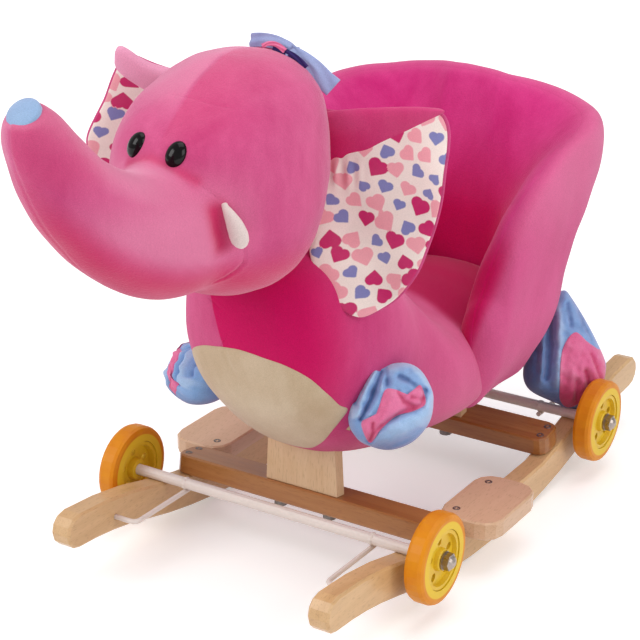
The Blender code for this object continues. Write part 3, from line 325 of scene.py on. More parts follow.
class Tree:
    """A short way to write the nodes of a material, or of the world."""

    def __init__(self, name, owner=None):
        self.material = owner or bpy.data.materials.new(name)
        self.material.use_nodes = True
        self.nodes = self.material.node_tree.nodes
        self.nodes.clear()
        self.links = self.material.node_tree.links

    def node(self, kind, inputs=None, **settings):
        made = self.nodes.new(kind)
        for key, value in settings.items():
            setattr(made, key, value)
        for key, value in (inputs or {}).items():
            self.put(made.inputs[key], value)
        return made

    def put(self, socket, value):
        if isinstance(value, bpy.types.NodeSocket):
            self.links.new(value, socket)
        elif isinstance(value, bpy.types.Node):
            self.links.new(value.outputs[0], socket)
        else:
            socket.default_value = value

    def math(self, operation, a, b=0.0, c=None):
        made = self.node("ShaderNodeMath", operation=operation)
        self.put(made.inputs[0], a)
        self.put(made.inputs[1], b)
        if c is not None:
            self.put(made.inputs[2], c)
        return made.outputs[0]

    def mix(self, factor, a, b, blend="MIX"):
        made = self.node("ShaderNodeMix", data_type="RGBA", blend_type=blend)
        self.put(made.inputs["Factor"], factor)
        self.put(made.inputs["A"], colour4(a))
        self.put(made.inputs["B"], colour4(b))
        return made.outputs["Result"]

    def ramp(self, value, stops, interpolation="LINEAR"):
        made = self.node("ShaderNodeValToRGB", {"Fac": value})
        made.color_ramp.interpolation = interpolation
        elements = made.color_ramp.elements
        while len(elements) < len(stops):
            elements.new(0.5)
        for element, (place, colour) in zip(elements, stops):
            element.position = place
            element.color = colour4(colour)
        return made.outputs["Color"]

    def noise(self, vector, scale, detail=2.0, roughness=0.5, distortion=0.0):
        made = self.node("ShaderNodeTexNoise", {"Vector": vector, "Scale": scale, "Detail": detail,
                                                "Roughness": roughness, "Distortion": distortion})
        return made.outputs["Fac"]

    def place(self):
        return self.node("ShaderNodeTexCoord").outputs["Object"]

    def mapped(self, vector, scale, location=(0, 0, 0)):
        inputs = {"Vector": vector, "Scale": scale, "Location": location}
        return self.node("ShaderNodeMapping", inputs).outputs[0]

    def attribute(self, name):
        return self.node("ShaderNodeAttribute", attribute_name=name).outputs["Fac"]

    def bump(self, height, strength, distance):
        inputs = {"Height": height, "Strength": strength, "Distance": distance}
        return self.node("ShaderNodeBump", inputs).outputs[0]

    def finish(self, colour, roughness, normal=None, **fixed):
        shader = self.node("ShaderNodeBsdfPrincipled")
        self.put(shader.inputs["Base Color"], colour4(colour))
        self.put(shader.inputs["Roughness"], roughness)
        if normal is not None:
            self.put(shader.inputs["Normal"], normal)
        for key, value in fixed.items():
            shader.inputs[key.replace("_", " ")].default_value = value
        output = self.node("ShaderNodeOutputMaterial")
        self.links.new(shader.outputs[0], output.inputs["Surface"])
        return self.material


def colour4(value):
    if isinstance(value, (tuple, list)) and len(value) == 3:
        return (*value, 1.0)
    return value


def plush(name, low, high, sheen=0.55, seam=False, gradient=None, painted_shade=None):
    """Short pile: patches of differently laid pile, fine fibre ends and a soft sheen; painted light and
    painted shade are mixed in from the mesh's attributes.
    """
    t = Tree(name)
    place = t.place()
    nap_and_painted_light = t.noise(t.mapped(place, (1, 1, 0.6)), 16.0, 4.0, 0.55, 0.4)
    streak = t.noise(t.mapped(place, (1, 1, 0.25)), 90.0, 3.0, 0.6)
    fibre = t.noise(place, 1500.0, 2.0, 0.7)
    tuft = t.noise(place, 420.0, 2.0, 0.6)
    amount = t.math("ADD", t.math("MULTIPLY", nap_and_painted_light, 0.75), t.math("MULTIPLY", streak, 0.25))
    colour = t.ramp(amount, [(0.34, low), (0.66, high)])
    if gradient:
        # painted light, mixed in by the attribute; on the bow the gradient colour is dark and paints shade
        colour = t.mix(t.attribute("nap_and_painted_light"), colour, gradient)
    if painted_shade:
        # the painted shade colour ends sharply where "edge", in metres, turns negative
        kept = t.math("MAXIMUM", t.math("MULTIPLY_ADD", t.attribute("edge"), 900.0, 1.0), 0.0)
        kept = t.math("MINIMUM", kept, 1.0)
        colour = t.mix(t.math("MULTIPLY", t.attribute("painted_shade"), kept), colour, painted_shade)
    speckle = t.ramp(fibre, [(0.25, (0.80, 0.80, 0.80)), (0.75, (1.16, 1.16, 1.16))])
    colour = t.mix(0.8, colour, speckle, "MULTIPLY")
    height = t.math("ADD", t.math("MULTIPLY", fibre, 0.6), t.math("MULTIPLY", tuft, 0.9))
    normal = t.bump(height, 0.35, 0.0012)
    if seam:
        line = t.ramp(t.math("MULTIPLY", t.attribute("seam"), 250.0),
                      [(0.0, (0.45, 0.14, 0.30)), (0.10, (0.62, 0.34, 0.50)), (0.35, (1.0, 1.0, 1.0))])
        colour = t.mix(0.6, colour, line, "MULTIPLY")
    return t.finish(colour, 0.92, normal, Sheen_Weight=sheen, Sheen_Roughness=0.45,
                    Sheen_Tint=(1.0, 0.72, 0.84, 1.0), Specular_IOR_Level=0.18)


def wood(name, light, dark, grain_axis, coat=0.25, roughness=0.42):
    """Straight grained lacquered wood; the grain runs along grain_axis."""
    t = Tree(name)
    place = t.place()
    squeeze = [26.0, 26.0, 26.0]
    squeeze["XYZ".index(grain_axis)] = 1.6
    long = t.mapped(place, tuple(squeeze))
    broad = t.noise(long, 1.5, 3.0, 0.55, 0.8)
    fine = t.noise(long, 9.0, 5.0, 0.65, 0.2)
    fleck_scale = [900.0, 900.0, 900.0]
    fleck_scale["XYZ".index(grain_axis)] = 130.0
    fleck = t.noise(t.mapped(place, tuple(fleck_scale)), 1.0, 1.0, 0.5)
    tone = t.math("ADD", t.math("MULTIPLY", broad, 0.62), t.math("MULTIPLY", fine, 0.38))
    between = tuple(lerp(d, l, 0.65) for d, l in zip(dark, light))
    colour = t.ramp(tone, [(0.30, dark), (0.52, between), (0.72, light)])
    flecks = t.ramp(fleck, [(0.30, (0.72, 0.66, 0.60)), (0.42, (1.0, 1.0, 1.0))])
    colour = t.mix(0.55, colour, flecks, "MULTIPLY")
    normal = t.bump(fine, 0.10, 0.0006)
    rough = t.ramp(fine, [(0.3, (roughness - 0.06,) * 3), (0.8, (roughness + 0.10,) * 3)])
    return t.finish(colour, rough, normal, Coat_Weight=coat, Coat_Roughness=0.18)


def moulded(name, colour, worn, roughness, coat, gloss):
    """Moulded plastic or rubber with a little mottle and handling wear."""
    t = Tree(name)
    place = t.place()
    mottle = t.noise(place, 60.0, 3.0, 0.5)
    grain = t.noise(place, 900.0, 2.0, 0.5)
    tint = t.ramp(mottle, [(0.35, colour), (0.75, worn)])
    normal = t.bump(grain, 0.08, 0.0004)
    rough = t.ramp(mottle, [(0.3, (roughness - 0.05,) * 3), (0.7, (roughness + 0.08,) * 3)])
    return t.finish(tint, rough, normal, Coat_Weight=coat, Coat_Roughness=0.22, Specular_IOR_Level=gloss)


def metal(name, colour, roughness, metallic=1.0):
    t = Tree(name)
    place = t.place()
    cloud = t.noise(place, 300.0, 3.0, 0.6)
    scratch = t.noise(t.mapped(place, (40.0, 700.0, 700.0)), 1.0, 2.0, 0.6)
    tint = t.mix(t.math("MULTIPLY", cloud, 0.35), colour, tuple(c * 0.72 for c in colour))
    rough = t.ramp(cloud, [(0.3, (roughness * 0.8,) * 3), (0.75, (roughness * 1.4,) * 3)])
    normal = t.bump(scratch, 0.05, 0.0003)
    return t.finish(tint, rough, normal, Metallic=metallic)


# the pale pink below and the gradient colours of the plushes are painted light; the darkest pinks and blues
# given to them are painted shade
PINK_LOW, PINK_HIGH = (0.54, 0.050, 0.185), (0.68, 0.110, 0.275)
PAINTED_LIGHT_PINK, PAINTED_SHADE_PINK = (0.75, 0.235, 0.385), (0.57, 0.000, 0.100)
BODY_PINK = plush("body_plush", (0.54, 0.035, 0.165), (0.66, 0.080, 0.245), sheen=0.25, seam=True,
                  gradient=PAINTED_LIGHT_PINK, painted_shade=PAINTED_SHADE_PINK)
HEAD_PINK = plush("head_plush", PINK_LOW, PINK_HIGH, seam=True, gradient=PAINTED_LIGHT_PINK, painted_shade=(0.58, 0.012, 0.100))
SEAT_PINK = plush("seat_plush", (0.54, 0.016, 0.165), (0.66, 0.045, 0.235), sheen=0.22, seam=True,
                  gradient=PAINTED_LIGHT_PINK, painted_shade=PAINTED_SHADE_PINK)
EAR_PINK = plush("ear_plush", PINK_LOW, PINK_HIGH, sheen=0.25, gradient=(0.80, 0.34, 0.50), painted_shade=PAINTED_SHADE_PINK)
FOOT_BLUE = plush("blue_plush", (0.17, 0.33, 0.64), (0.30, 0.48, 0.78), gradient=(0.42, 0.60, 0.84),
                  painted_shade=(0.055, 0.105, 0.30))
PAD_PINK = plush("pad_plush", (0.70, 0.11, 0.27), (0.82, 0.23, 0.41), gradient=(0.86, 0.34, 0.52),
                 painted_shade=(0.50, 0.02, 0.10))
TIP_BLUE = plush("tip_plush", (0.24, 0.37, 0.60), (0.34, 0.50, 0.72))
CREAM = plush("cream_plush", (0.52, 0.39, 0.25), (0.64, 0.52, 0.37), sheen=0.25)
FELT = plush("felt", (0.70, 0.54, 0.52), (0.82, 0.72, 0.68), sheen=0.3)
# the bow's gradient colour is a dark navy, painted shade in the fold under its tail
BOW_BLUE = plush("bow_plush", (0.26, 0.31, 0.56), (0.38, 0.44, 0.70), sheen=0.35,
                 gradient=(0.030, 0.018, 0.12))


def hearts(name, ground, colours):
    """Cream cotton with a print; the lining carries the distance to the next heart and its colour."""
    t = Tree(name)
    place = t.place()
    ragged = t.math("MULTIPLY_ADD", t.noise(place, 900.0, 2.0, 0.6), 0.0006, t.attribute("heart"))
    inside = t.ramp(t.math("MULTIPLY_ADD", ragged, 100.0, 0.5),
                    [(0.49, (1.0, 1.0, 1.0)), (0.56, (0.0, 0.0, 0.0))])
    tint = t.ramp(t.attribute("ink"), [(0.0, colours[0]), (0.33, colours[1]), (0.66, colours[2])], "CONSTANT")
    weave = t.noise(place, 1400.0, 2.0, 0.6)
    cloud = t.noise(place, 40.0, 3.0, 0.5)
    cloth = t.ramp(cloud, [(0.3, tuple(c * 0.93 for c in ground)), (0.7, ground)])
    worn = t.mix(t.math("MULTIPLY", cloud, 0.08), tint, ground)
    colour = t.mix(inside, cloth, worn)
    threads = t.ramp(weave, [(0.25, (0.86, 0.86, 0.86)), (0.75, (1.08, 1.08, 1.08))])
    colour = t.mix(0.7, colour, threads, "MULTIPLY")
    normal = t.bump(weave, 0.25, 0.0006)
    return t.finish(colour, 0.9, normal, Sheen_Weight=0.10, Sheen_Roughness=0.5, Specular_IOR_Level=0.15)


HEARTS = hearts("heart_print", (0.93, 0.80, 0.74),
                [(0.56, 0.000, 0.125), (0.86, 0.35, 0.41), (0.20, 0.21, 0.48)])
BEECH = wood("beech", (0.71, 0.46, 0.235), (0.55, 0.32, 0.135), "Y")
BEECH_X = wood("beech_cross", (0.66, 0.42, 0.215), (0.50, 0.285, 0.12), "X")
PLANK = wood("plank", (0.70, 0.46, 0.30), (0.58, 0.35, 0.20), "Y")
POST = wood("post", (0.72, 0.50, 0.31), (0.60, 0.38, 0.20), "Z")
STAINED = wood("stained_beech", (0.44, 0.195, 0.058), (0.27, 0.078, 0.011), "X", coat=0.2, roughness=0.40)
PLY = wood("plywood", (0.58, 0.43, 0.27), (0.45, 0.30, 0.17), "Y", coat=0.0, roughness=0.6)
ORANGE, YELLOW = (0.73, 0.265, 0.002), (0.78, 0.52, 0.022)
HUB = moulded("yellow_hub", YELLOW, (0.72, 0.44, 0.014), 0.40, 0.10, gloss=0.35)
WIRE = metal("pale_paint", (0.80, 0.70, 0.65), 0.36, 0.0)
CHROME = metal("bright_nut", (0.42, 0.36, 0.32), 0.30)
STEEL = metal("dark_steel", (0.20, 0.18, 0.17), 0.38)
EYE = moulded("eye_black", (0.002, 0.001, 0.002), (0.004, 0.003, 0.003), 0.10, 0.0, gloss=0.22)


def dress(item, material):
    item.data.materials.clear()
    item.data.materials.append(material)
    return item


def place_piece(item, material, nodes=(), body=BASE):
    """Give a piece its material and body, and hide the nodes that it stands for."""
    dress(item, material)
    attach(item, body)
    if nodes:
        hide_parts(*nodes)
    return item


node_looks = {
    "rocker": BEECH, "front_crossbar": STAINED, "rear_crossbar": STAINED, "footrest": PLANK,
    "front_post_bolt": STEEL, "rear_post_bolt": STEEL, "front_post": POST, "rear_post": POST,
    "seat_board": PLY, "backrest_board": PLY, "handle": BEECH_X, "front_axle_nut": CHROME,
    "rear_axle_nut": CHROME, "front_axle": WIRE, "rear_axle": WIRE, "front_stay": WIRE, "rear_stay": WIRE,
    "front_hub": HUB, "rear_hub": HUB,
}


def tyre(name, item):
    """Orange tread over a yellow ring; the ring is told by its distance to the wheel's middle."""
    low, high = (Vector(corner) for corner in (item.bound_box[0], item.bound_box[6]))
    middle = (low + high) / 2
    t = Tree(name)
    place = t.place()
    away = t.node("ShaderNodeVectorMath", {0: t.mapped(place, (0.0, 1.0, 1.0), (0.0, -middle.y, -middle.z))},
                  operation="LENGTH").outputs["Value"]
    mottle = t.noise(place, 60.0, 3.0, 0.5)
    tread = t.ramp(mottle, [(0.35, ORANGE), (0.75, (0.66, 0.20, 0.002))])
    edge = t.ramp(t.math("MULTIPLY", away, 20.0), [(0.655, (0.0, 0.0, 0.0)), (0.675, (1.0, 1.0, 1.0))])
    tint = t.mix(edge, YELLOW, tread)
    normal = t.bump(t.noise(place, 900.0, 2.0, 0.5), 0.08, 0.0004)
    return t.finish(tint, t.math("MULTIPLY_ADD", mottle, 0.12, 0.40), normal, Specular_IOR_Level=0.3)


for node_name, item in NODES.items():
    starts = [key for key in node_looks if node_name.startswith(key)]
    if starts:
        dress(item, node_looks[max(starts, key=len)])
    elif "_tyre_" in node_name:
        dress(item, tyre(node_name + "_rubber", item))

# Torso

CHEST_Y, TORSO_REAR_Y, BELLY_Z, SQUAB_Z, SHOULDER_Z = -0.218, 0.165, 0.088, 0.198, 0.318
TORSO_HALF, CHEST_HALF = 0.100, 0.080


def torso_rings(count, around):
    middle = (BELLY_Z + SQUAB_Z) / 2
    keys = [
        (CHEST_Y + 0.004, 0.225, 0.280, CHEST_HALF * 0.42),
        (CHEST_Y + 0.020, 0.178, SHOULDER_Z - 0.012, CHEST_HALF * 0.80),
        (CHEST_Y + 0.048, 0.140, SHOULDER_Z + 0.004, CHEST_HALF),
        (CHEST_Y + 0.080, 0.112, SHOULDER_Z + 0.014, CHEST_HALF * 1.10),
        (CHEST_Y + 0.112, BELLY_Z + 0.008, SHOULDER_Z - 0.004, TORSO_HALF * 0.94),
        (CHEST_Y + 0.150, BELLY_Z, SHOULDER_Z - 0.052, TORSO_HALF * 0.98),
        (CHEST_Y + 0.190, BELLY_Z, SQUAB_Z + 0.022, TORSO_HALF),
        (CHEST_Y + 0.235, BELLY_Z, SQUAB_Z + 0.002, TORSO_HALF),
        (lerp(CHEST_Y, TORSO_REAR_Y, 0.75), BELLY_Z, SQUAB_Z, TORSO_HALF * 0.97),
        (TORSO_REAR_Y - 0.045, BELLY_Z + 0.004, SQUAB_Z, TORSO_HALF * 0.90),
        (TORSO_REAR_Y - 0.014, BELLY_Z + 0.020, SQUAB_Z - 0.008, TORSO_HALF * 0.76),
        (TORSO_REAR_Y - 0.002, BELLY_Z + 0.040, SQUAB_Z - 0.030, TORSO_HALF * 0.46),
    ]
    rows = catmull(keys, count)
    centres = local(np.stack([rows[:, 0] * 0, rows[:, 0], (rows[:, 1] + rows[:, 2]) / 2], 1))
    rings = ovals(centres, (1.0, 0, 0), (0, 0, 1.0), rows[:, 3], (rows[:, 2] - rows[:, 1]) / 2, around, 2.35)
    return rings, at(0, CHEST_Y, 0.2525), at(0, TORSO_REAR_Y, middle)


def make_torso():
    rings, first, last = torso_rings(170, 288)
    item = shape("torso_cover", rings, first, last)
    relax(item, 1.0, 8)
    points, way = coords(item), normals(item)
    points = push(points, way, 0.0012 + wave(points, 0.13, 3) * 0.0010 + wave(points, 0.05, 4) * 0.0003)
    x, y, z = points[:, 0], points[:, 1] - SHIFT, points[:, 2]
    # upright side seams, and the seam down the chest that parts two directions of pile
    sides = y + 0.1485
    side_window = rising(np.abs(x), 0.070, 0.02) * rising(z, 0.205, 0.012) * falling(z, 0.25, 0.012)
    chest = x + 0.0179 + 0.276 * (z - 0.2343)
    chest_window = falling(y, -0.150, 0.02) * rising(z, 0.195, 0.012)
    seam = np.full(len(points), 1.0)
    for signed, window, depth in ((sides, side_window, 0.0005), (chest, chest_window, 0.0005)):
        points = groove(points, way, signed, window, depth, 0.0016)
        seam = np.where((window > 0.5) & (np.abs(signed) < np.abs(seam)), signed, seam)
    # the thighs swell beside the lap
    swell = rising(y, -0.085, 0.06) * falling(y, 0.055, 0.05) * rising(np.abs(x), 0.055, 0.03)
    swell = swell * rising(z, 0.085, 0.05)
    points[:, 0] += np.sign(x) * 0.0100 * swell
    # and the squab closes up to the back
    points[:, 1] += 0.0085 * rising(y, 0.115, 0.035) * rising(z, 0.140, 0.03)
    set_coords(item, points)
    # painted light: the pile right of the chest seam gets a painted sheen, and the torso pales towards the
    # back and low on its left side
    brushed_pile_painted_light = falling(chest, 0.001, 0.003) * falling(y, -0.13, 0.03)
    attribute(item, "edge", np.where((y < -0.10) & (z > 0.17), chest, 0.0))
    low = falling(z, 0.19, 0.07) * rising(x, 0.02, 0.04) * rising(z, 0.095, 0.02)
    attribute(item, "nap_and_painted_light", np.clip(rising(y, -0.16, 0.08) * (0.22 + 0.25 * low) + brushed_pile_painted_light * 0.20, 0, 1))
    # painted shade: on the chest left of its seam, ending sharply there, in the lap and on the underside
    shade = rising(chest, -0.010, 0.003) * falling(y, -0.148, 0.060) * rising(z, 0.11, 0.05)
    lap = smoothstep((y - 0.0420 + 0.43 * np.sqrt(x * x + 0.0004)) / 0.018) * rising(way[:, 2], 0.05, 0.3)
    under = falling(z, 0.125, 0.03) * rising(-way[:, 2], 0.3, 0.4)
    # the lap lies in its own shade, so painted shade darkens it like a seam
    faint = np.where(seam > 0.5, seam, np.abs(seam) + 0.0006)
    attribute(item, "seam", np.minimum(faint, 0.0014 - 0.0009 * lap))
    attribute(item, "painted_shade", strongest(shade, brushed_pile_painted_light * 0.25, lap, under * 0.7))
    return item


torso = place_piece(make_torso(), BODY_PINK, ["torso"])
torso_tree = surface(torso)

# Seat shell

SHELL = dict(half=0.127, rear=0.214, arm_y=0.024, thick=0.044, corner=0.098, arm_z=0.226, side_z=0.359,
             back_z=0.376, low_z=0.106, climb=0.50, square=0.9, flare=0.036, puff=0.024)


def shell_path(t):
    half, rear = SHELL["half"] - SHELL["thick"] / 2, SHELL["rear"] - SHELL["thick"] / 2
    radius = SHELL["corner"] - SHELL["thick"] / 2
    arm, bend, across = rear - radius - SHELL["arm_y"], radius * math.pi / 2, 2 * (half - radius)
    run = t * (2 * arm + 2 * bend + across)
    if run <= arm:
        return (half, SHELL["arm_y"] + run), (1.0, 0.0)
    run -= arm
    if run <= bend:
        c, s = math.cos(run / radius), math.sin(run / radius)
        return (half - radius + radius * c, rear - radius + radius * s), (c, s)
    run -= bend
    if run <= across:
        return (half - radius - run, rear), (0.0, 1.0)
    run -= across
    if run <= bend:
        c, s = math.cos(math.pi / 2 + run / radius), math.sin(math.pi / 2 + run / radius)
        return (radius - half + radius * c, rear - radius + radius * s), (c, s)
    run -= bend
    return (-half, rear - radius - run), (-1.0, 0.0)


def shell_rim(turn):
    climb = math.sin(math.pi / 2 * min(turn / 0.62, 1.0)) ** SHELL["climb"]
    rise = (SHELL["back_z"] - SHELL["side_z"]) * rising(turn, 0.58, 0.37)
    return lerp(SHELL["arm_z"], SHELL["side_z"], climb) + rise


def shell_ring(t, squeeze, count):
    point, out = shell_path(t)
    turn = 1.0 - abs(2.0 * t - 1.0)
    top = shell_rim(turn) - 0.045 * point[0]
    low = SHELL["low_z"]
    middle = (top + low) / 2
    angle = circle(count)
    across, up = np.cos(angle), np.sin(angle)
    z = middle + (top - low) / 2 * squeeze * signed_power(up, 0.78)
    level = (z - low) / (SHELL["back_z"] - low)
    tuck = -0.020 * (1.0 - smoothstep(level / 0.34)) ** 1.5
    lean = 0.25 + 0.75 * abs(out[0]) + SHELL["square"] * abs(out[0] * out[1])
    flare = SHELL["flare"] * rising(level, 0.30, 0.75) * lean
    puff = SHELL["puff"] * math.exp(-((turn - 0.56) / 0.28) ** 2) + 0.003
    inside = puff * np.clip(-across, 0, 1) ** 1.3 * smoothstep(level / 0.6) * squeeze
    half = SHELL["thick"] / 2 * squeeze * signed_power(across, 0.9)
    reach = half + tuck + flare - inside
    return np.stack([point[0] + out[0] * reach, point[1] + out[1] * reach + SHIFT, z], 1)


def make_shell():
    count, around = 261, 144
    step_back = np.array([0.0, -0.5 * SHELL["thick"], 0.0])
    ends = [(math.cos(a), math.sin(a)) for a in np.linspace(1.40, 0.10, 16)]
    rings = [shell_ring(0.0, squeeze, around) + step_back * forward for squeeze, forward in ends]
    rings += [shell_ring(i / (count - 1), 1.0, around) for i in range(count)]
    rings += [shell_ring(1.0, squeeze, around) + step_back * forward for squeeze, forward in reversed(ends)]
    item = shape("seat_shell_cover", rings)
    turn = circle(around)
    angle = np.concatenate([np.tile(turn, len(rings)), [math.pi, math.pi]])
    relax(item, 1.0, 12)
    points, way = coords(item), normals(item)
    points = push(points, way, 0.0010 + wave(points, 0.12, 7) * 0.0013 + wave(points, 0.045, 8) * 0.0004)
    # the seam between the inner and the outer panel runs along the inner edge of the rim
    reach = 0.034
    signed = (angle - 1.80) * reach
    window = (angle < 3.0).astype(float)
    points = groove(points, way, signed, window, 0.0004, 0.0016)
    share = np.clip((np.arange(len(rings)) - len(ends)) / (count - 1), 0, 1)
    share = np.concatenate([np.repeat(1.0 - np.abs(2.0 * share - 1.0), around), [0.0, 0.0]])
    fade = falling(share, 0.50, 0.15) * 0.0004
    attribute(item, "seam", np.where(window > 0.5, np.abs(signed) + 0.0007 + fade, 1.0))
    set_coords(item, points)
    # painted light on the outer panels, more of it higher up; painted shade on the low inner walls and the
    # front of the arms
    outer = rising(np.cos(angle - 0.20), -0.30, 0.9)
    attribute(item, "nap_and_painted_light", outer * (0.34 + 0.26 * rising(points[:, 2], 0.24, 0.08)))
    inner = rising(-np.cos(angle), 0.15, 0.5)
    low = falling(points[:, 2], 0.335, 0.12)
    front = rising(-way[:, 1], 0.30, 0.4) * falling(points[:, 2], 0.290, 0.05)
    front = front * rising(points[:, 2], 0.165, 0.04) * falling(np.cos(angle), 0.5, 0.7)
    attribute(item, "painted_shade", strongest(inner * low, front))
    return item


place_piece(make_shell(), SEAT_PINK, ["seat_shell"])

# Head and trunk

HEAD_Y, HEAD_Z, HEAD_WIDTH, HEAD_DEPTH, HEAD_HEIGHT = -0.221, 0.383, 0.170, 0.150, 0.192
HEAD_KEYS = [(0.025, -0.014, 0.34, 0.34), (0.10, -0.017, 0.64, 0.67), (0.24, -0.020, 0.88, 0.95),
             (0.40, -0.018, 0.99, 1.11), (0.56, -0.014, 1.00, 1.17), (0.72, -0.008, 0.93, 1.12),
             (0.85, 0.004, 0.785, 0.90), (0.94, 0.0115, 0.52, 0.58), (0.985, 0.0145, 0.27, 0.30)]
TRUNK_KEYS = [(-0.232, 0.358, 0.03), (-0.275, 0.359, 0.01), (-0.320, 0.362, 0.03), (-0.3668, 0.379, 0.265),
              (-0.413, 0.413, 0.505), (-0.438, 0.4465, 0.65), (-0.453, 0.472, 0.80), (-0.461, 0.487, 1.0)]
TRUNK_BASE, TRUNK_TIP = 0.0525, 0.0150


def make_head():
    rows = catmull(HEAD_KEYS, 60)
    low = HEAD_Z - HEAD_HEIGHT / 2
    centres = local(np.stack([rows[:, 0] * 0, HEAD_Y + rows[:, 1], low + rows[:, 0] * HEAD_HEIGHT], 1))
    half_width, half_depth = rows[:, 2] * HEAD_WIDTH / 2, rows[:, 3] * HEAD_DEPTH / 2
    rings = ovals(centres, (1.0, 0, 0), (0, 1.0, 0), half_width, half_depth, 96)
    skull = shape("skull", rings, at(0, HEAD_Y - 0.014, low), at(0, HEAD_Y + 0.015, low + HEAD_HEIGHT))
    line = catmull(TRUNK_KEYS, 70)
    path = local(np.stack([line[:, 0] * 0, line[:, 0], line[:, 1]], 1))
    radii = lerp(TRUNK_BASE, TRUNK_TIP, line[:, 2])
    nose = shape("nose", tube(path, radii, 72), path[0], path[-1])
    skull_tree, nose_tree = surface(skull), surface(nose)
    item = joined("head_cover", [skull, nose])
    remesh(item, 0.0032)
    points = coords(item)
    apart = np.maximum(distance_to(skull_tree, points), distance_to(nose_tree, points))
    relax(item, 1.0, 4)
    relax(item, bell(apart, 0.012), 36)
    step = item.modifiers.new("fine", "SUBSURF")
    step.levels = 1
    step.render_levels = 1
    bake_modifiers(item)
    points, way = coords(item), normals(item)
    points = push(points, way, wave(points, 0.09, 11) * 0.0009 + wave(points, 0.035, 12) * 0.0004)
    x, y, z = points[:, 0], points[:, 1] - SHIFT, points[:, 2]
    # seams: under the trunk, up the middle of the face, across the brow, over the cheeks and along the jaw
    mirrored = np.stack([np.abs(x), y, z], 1)
    under_window = rising(-way[:, 2] * 0.7 - way[:, 1] * 0.7, 0.35, 0.2) * falling(y, -0.275, 0.02)
    middle_window = rising(z, 0.440, 0.01) * falling(y, -0.205, 0.01)
    brow = (z - 0.4552 + 0.11 * np.clip(x - 0.005, 0, 1)) * 2.0
    brow_window = falling(x, 0.042, 0.01) * rising(x, -0.020, 0.008) * falling(y, -0.24, 0.01)
    brow_window = brow_window * (y > -0.30)
    cheek = line_distance(mirrored, mm([
        (31, -316.5, 409), (35.9, -314.7, 404.7), (43.9, -311, 398.1), (50.5, -306.2, 391.5)]))
    jaw = line_distance(mirrored, mm([
        (61.7, -293.8, 353), (58.5, -290, 339.6), (52.3, -290, 331.9), (44, -294.2, 325.1),
        (37, -300, 322.6)]))
    everywhere = np.ones(len(points))
    seam = np.full(len(points), 1.0)
    for signed, window, depth, faint in (
            (x + 0.002, under_window, 0.0004, 0.0007), (x + 0.0035, middle_window, 0.0003, 0.0011),
            (brow, brow_window, 0.0003, 0.0009), (cheek, everywhere, 0.0006, 0.0006),
            (jaw, everywhere, 0.0010, 0.0004)):
        points = groove(points, way, signed, window, depth, 0.0014)
        line = np.where(window > 0.4, np.abs(signed) + faint, 1.0)
        seam = np.minimum(seam, line)
    attribute(item, "seam", seam)
    # a fold of the mouth in front of each tusk
    mouth = line_distance(mirrored, mm([(50.5, -312, 384), (52.2, -312, 370), (53, -309, 358)]))
    points = push(points, way, -0.0030 * bell(mouth, 0.0070))
    # the bridge of the nose is drawn in where it meets the face
    bridge = line_distance(points, local(mm([
        (-28.4, -315, 409.5), (-4.5, -318.8, 418.3), (12.7, -319.8, 415.2), (26.5, -317.7, 410),
        (34, -314.5, 405.8)])))
    points = push(points, way, -0.0010 * bell(bridge, 0.0040))
    set_coords(item, points)
    # painted light on the top of the muzzle, the trunk's sides, the pile right of the middle seam and the
    # crown
    muzzle = rising(way[:, 2], 0.1, 0.5) * falling(y, -0.312, 0.012) * 0.50
    flank = falling(z, 0.43, 0.05) * falling(y, -0.27, 0.05) * rising(way[:, 2], -0.60, 0.5) * 0.66
    brushed_pile_painted_light = falling(x, -0.0025, 0.003) * rising(z, 0.440, 0.02) * 0.50
    crown = rising(z, 0.455, 0.02) * falling(way[:, 1], 0.30, 0.5) * 0.15
    attribute(item, "nap_and_painted_light", np.clip(np.maximum(np.maximum(muzzle, flank), brushed_pile_painted_light) + crown, 0, 0.9))
    # painted shade under the head and trunk, in the mouth folds, along the bridge of the nose and on the left
    # of the forehead
    beneath = rising(-way[:, 2], 0.20, 0.5)
    mouth_shade, bridge_shade = 0.90 * bell(mouth, 0.0085), 0.50 * bell(bridge, 0.0045)
    forehead = rising(x, -0.0030, 0.003) * rising(z, 0.418, 0.03) * falling(x, 0.075, 0.07) * 0.30
    attribute(item, "painted_shade", strongest(beneath, mouth_shade, bridge_shade, forehead))
    return item, path, radii


head, trunk_path, trunk_radii = make_head()
place_piece(head, HEAD_PINK, ["head", "trunk"])
head_tree = surface(head)

# Blue trunk tip: a nearly flat cap sewn into the trunk's end

ahead = unit(np.array([0.0, -0.62, 0.78]))
tip_up = np.cross(ahead, (1.0, 0, 0))
tip_radius = trunk_radii[-1]
steps = [(-0.0040, 0.84), (-0.0010, 0.86), (0.0002, 0.85)]
steps += [(0.0004 + 0.0030 * math.sin(a), 0.84 * math.cos(a) ** 0.85) for a in np.linspace(0.08, 1.52, 16)]
tip_rings = np.concatenate([
    ovals(trunk_path[-1] + ahead * s, (1.0, 0, 0), tip_up, tip_radius * k, tip_radius * k,
          72) for s, k in steps])
tip = shape("trunk_tip_cover", tip_rings, None, trunk_path[-1] + ahead * 0.0035)
place_piece(tip, TIP_BLUE, ["trunk_tip"])

# Eyes: domed glossy beads


def make_eye(centre, out):
    centre, out = at(*centre), Vector(out).normalized()
    across = Vector((0.30, 0.0, 1.0)).cross(out).normalized()
    up = out.cross(across).normalized()
    rings = []
    for a in np.linspace(-0.6, 1.5, 28):
        middle, wide, tall = centre + out * (0.0062 * math.sin(a)), 0.0081 * math.cos(a), 0.0107 * math.cos(a)
        rings.append(ovals(np.array(middle), np.array(across), np.array(up), wide, tall, 56)[0])
    return shape("eye_bead", rings, None, np.array(centre + out * 0.0062))


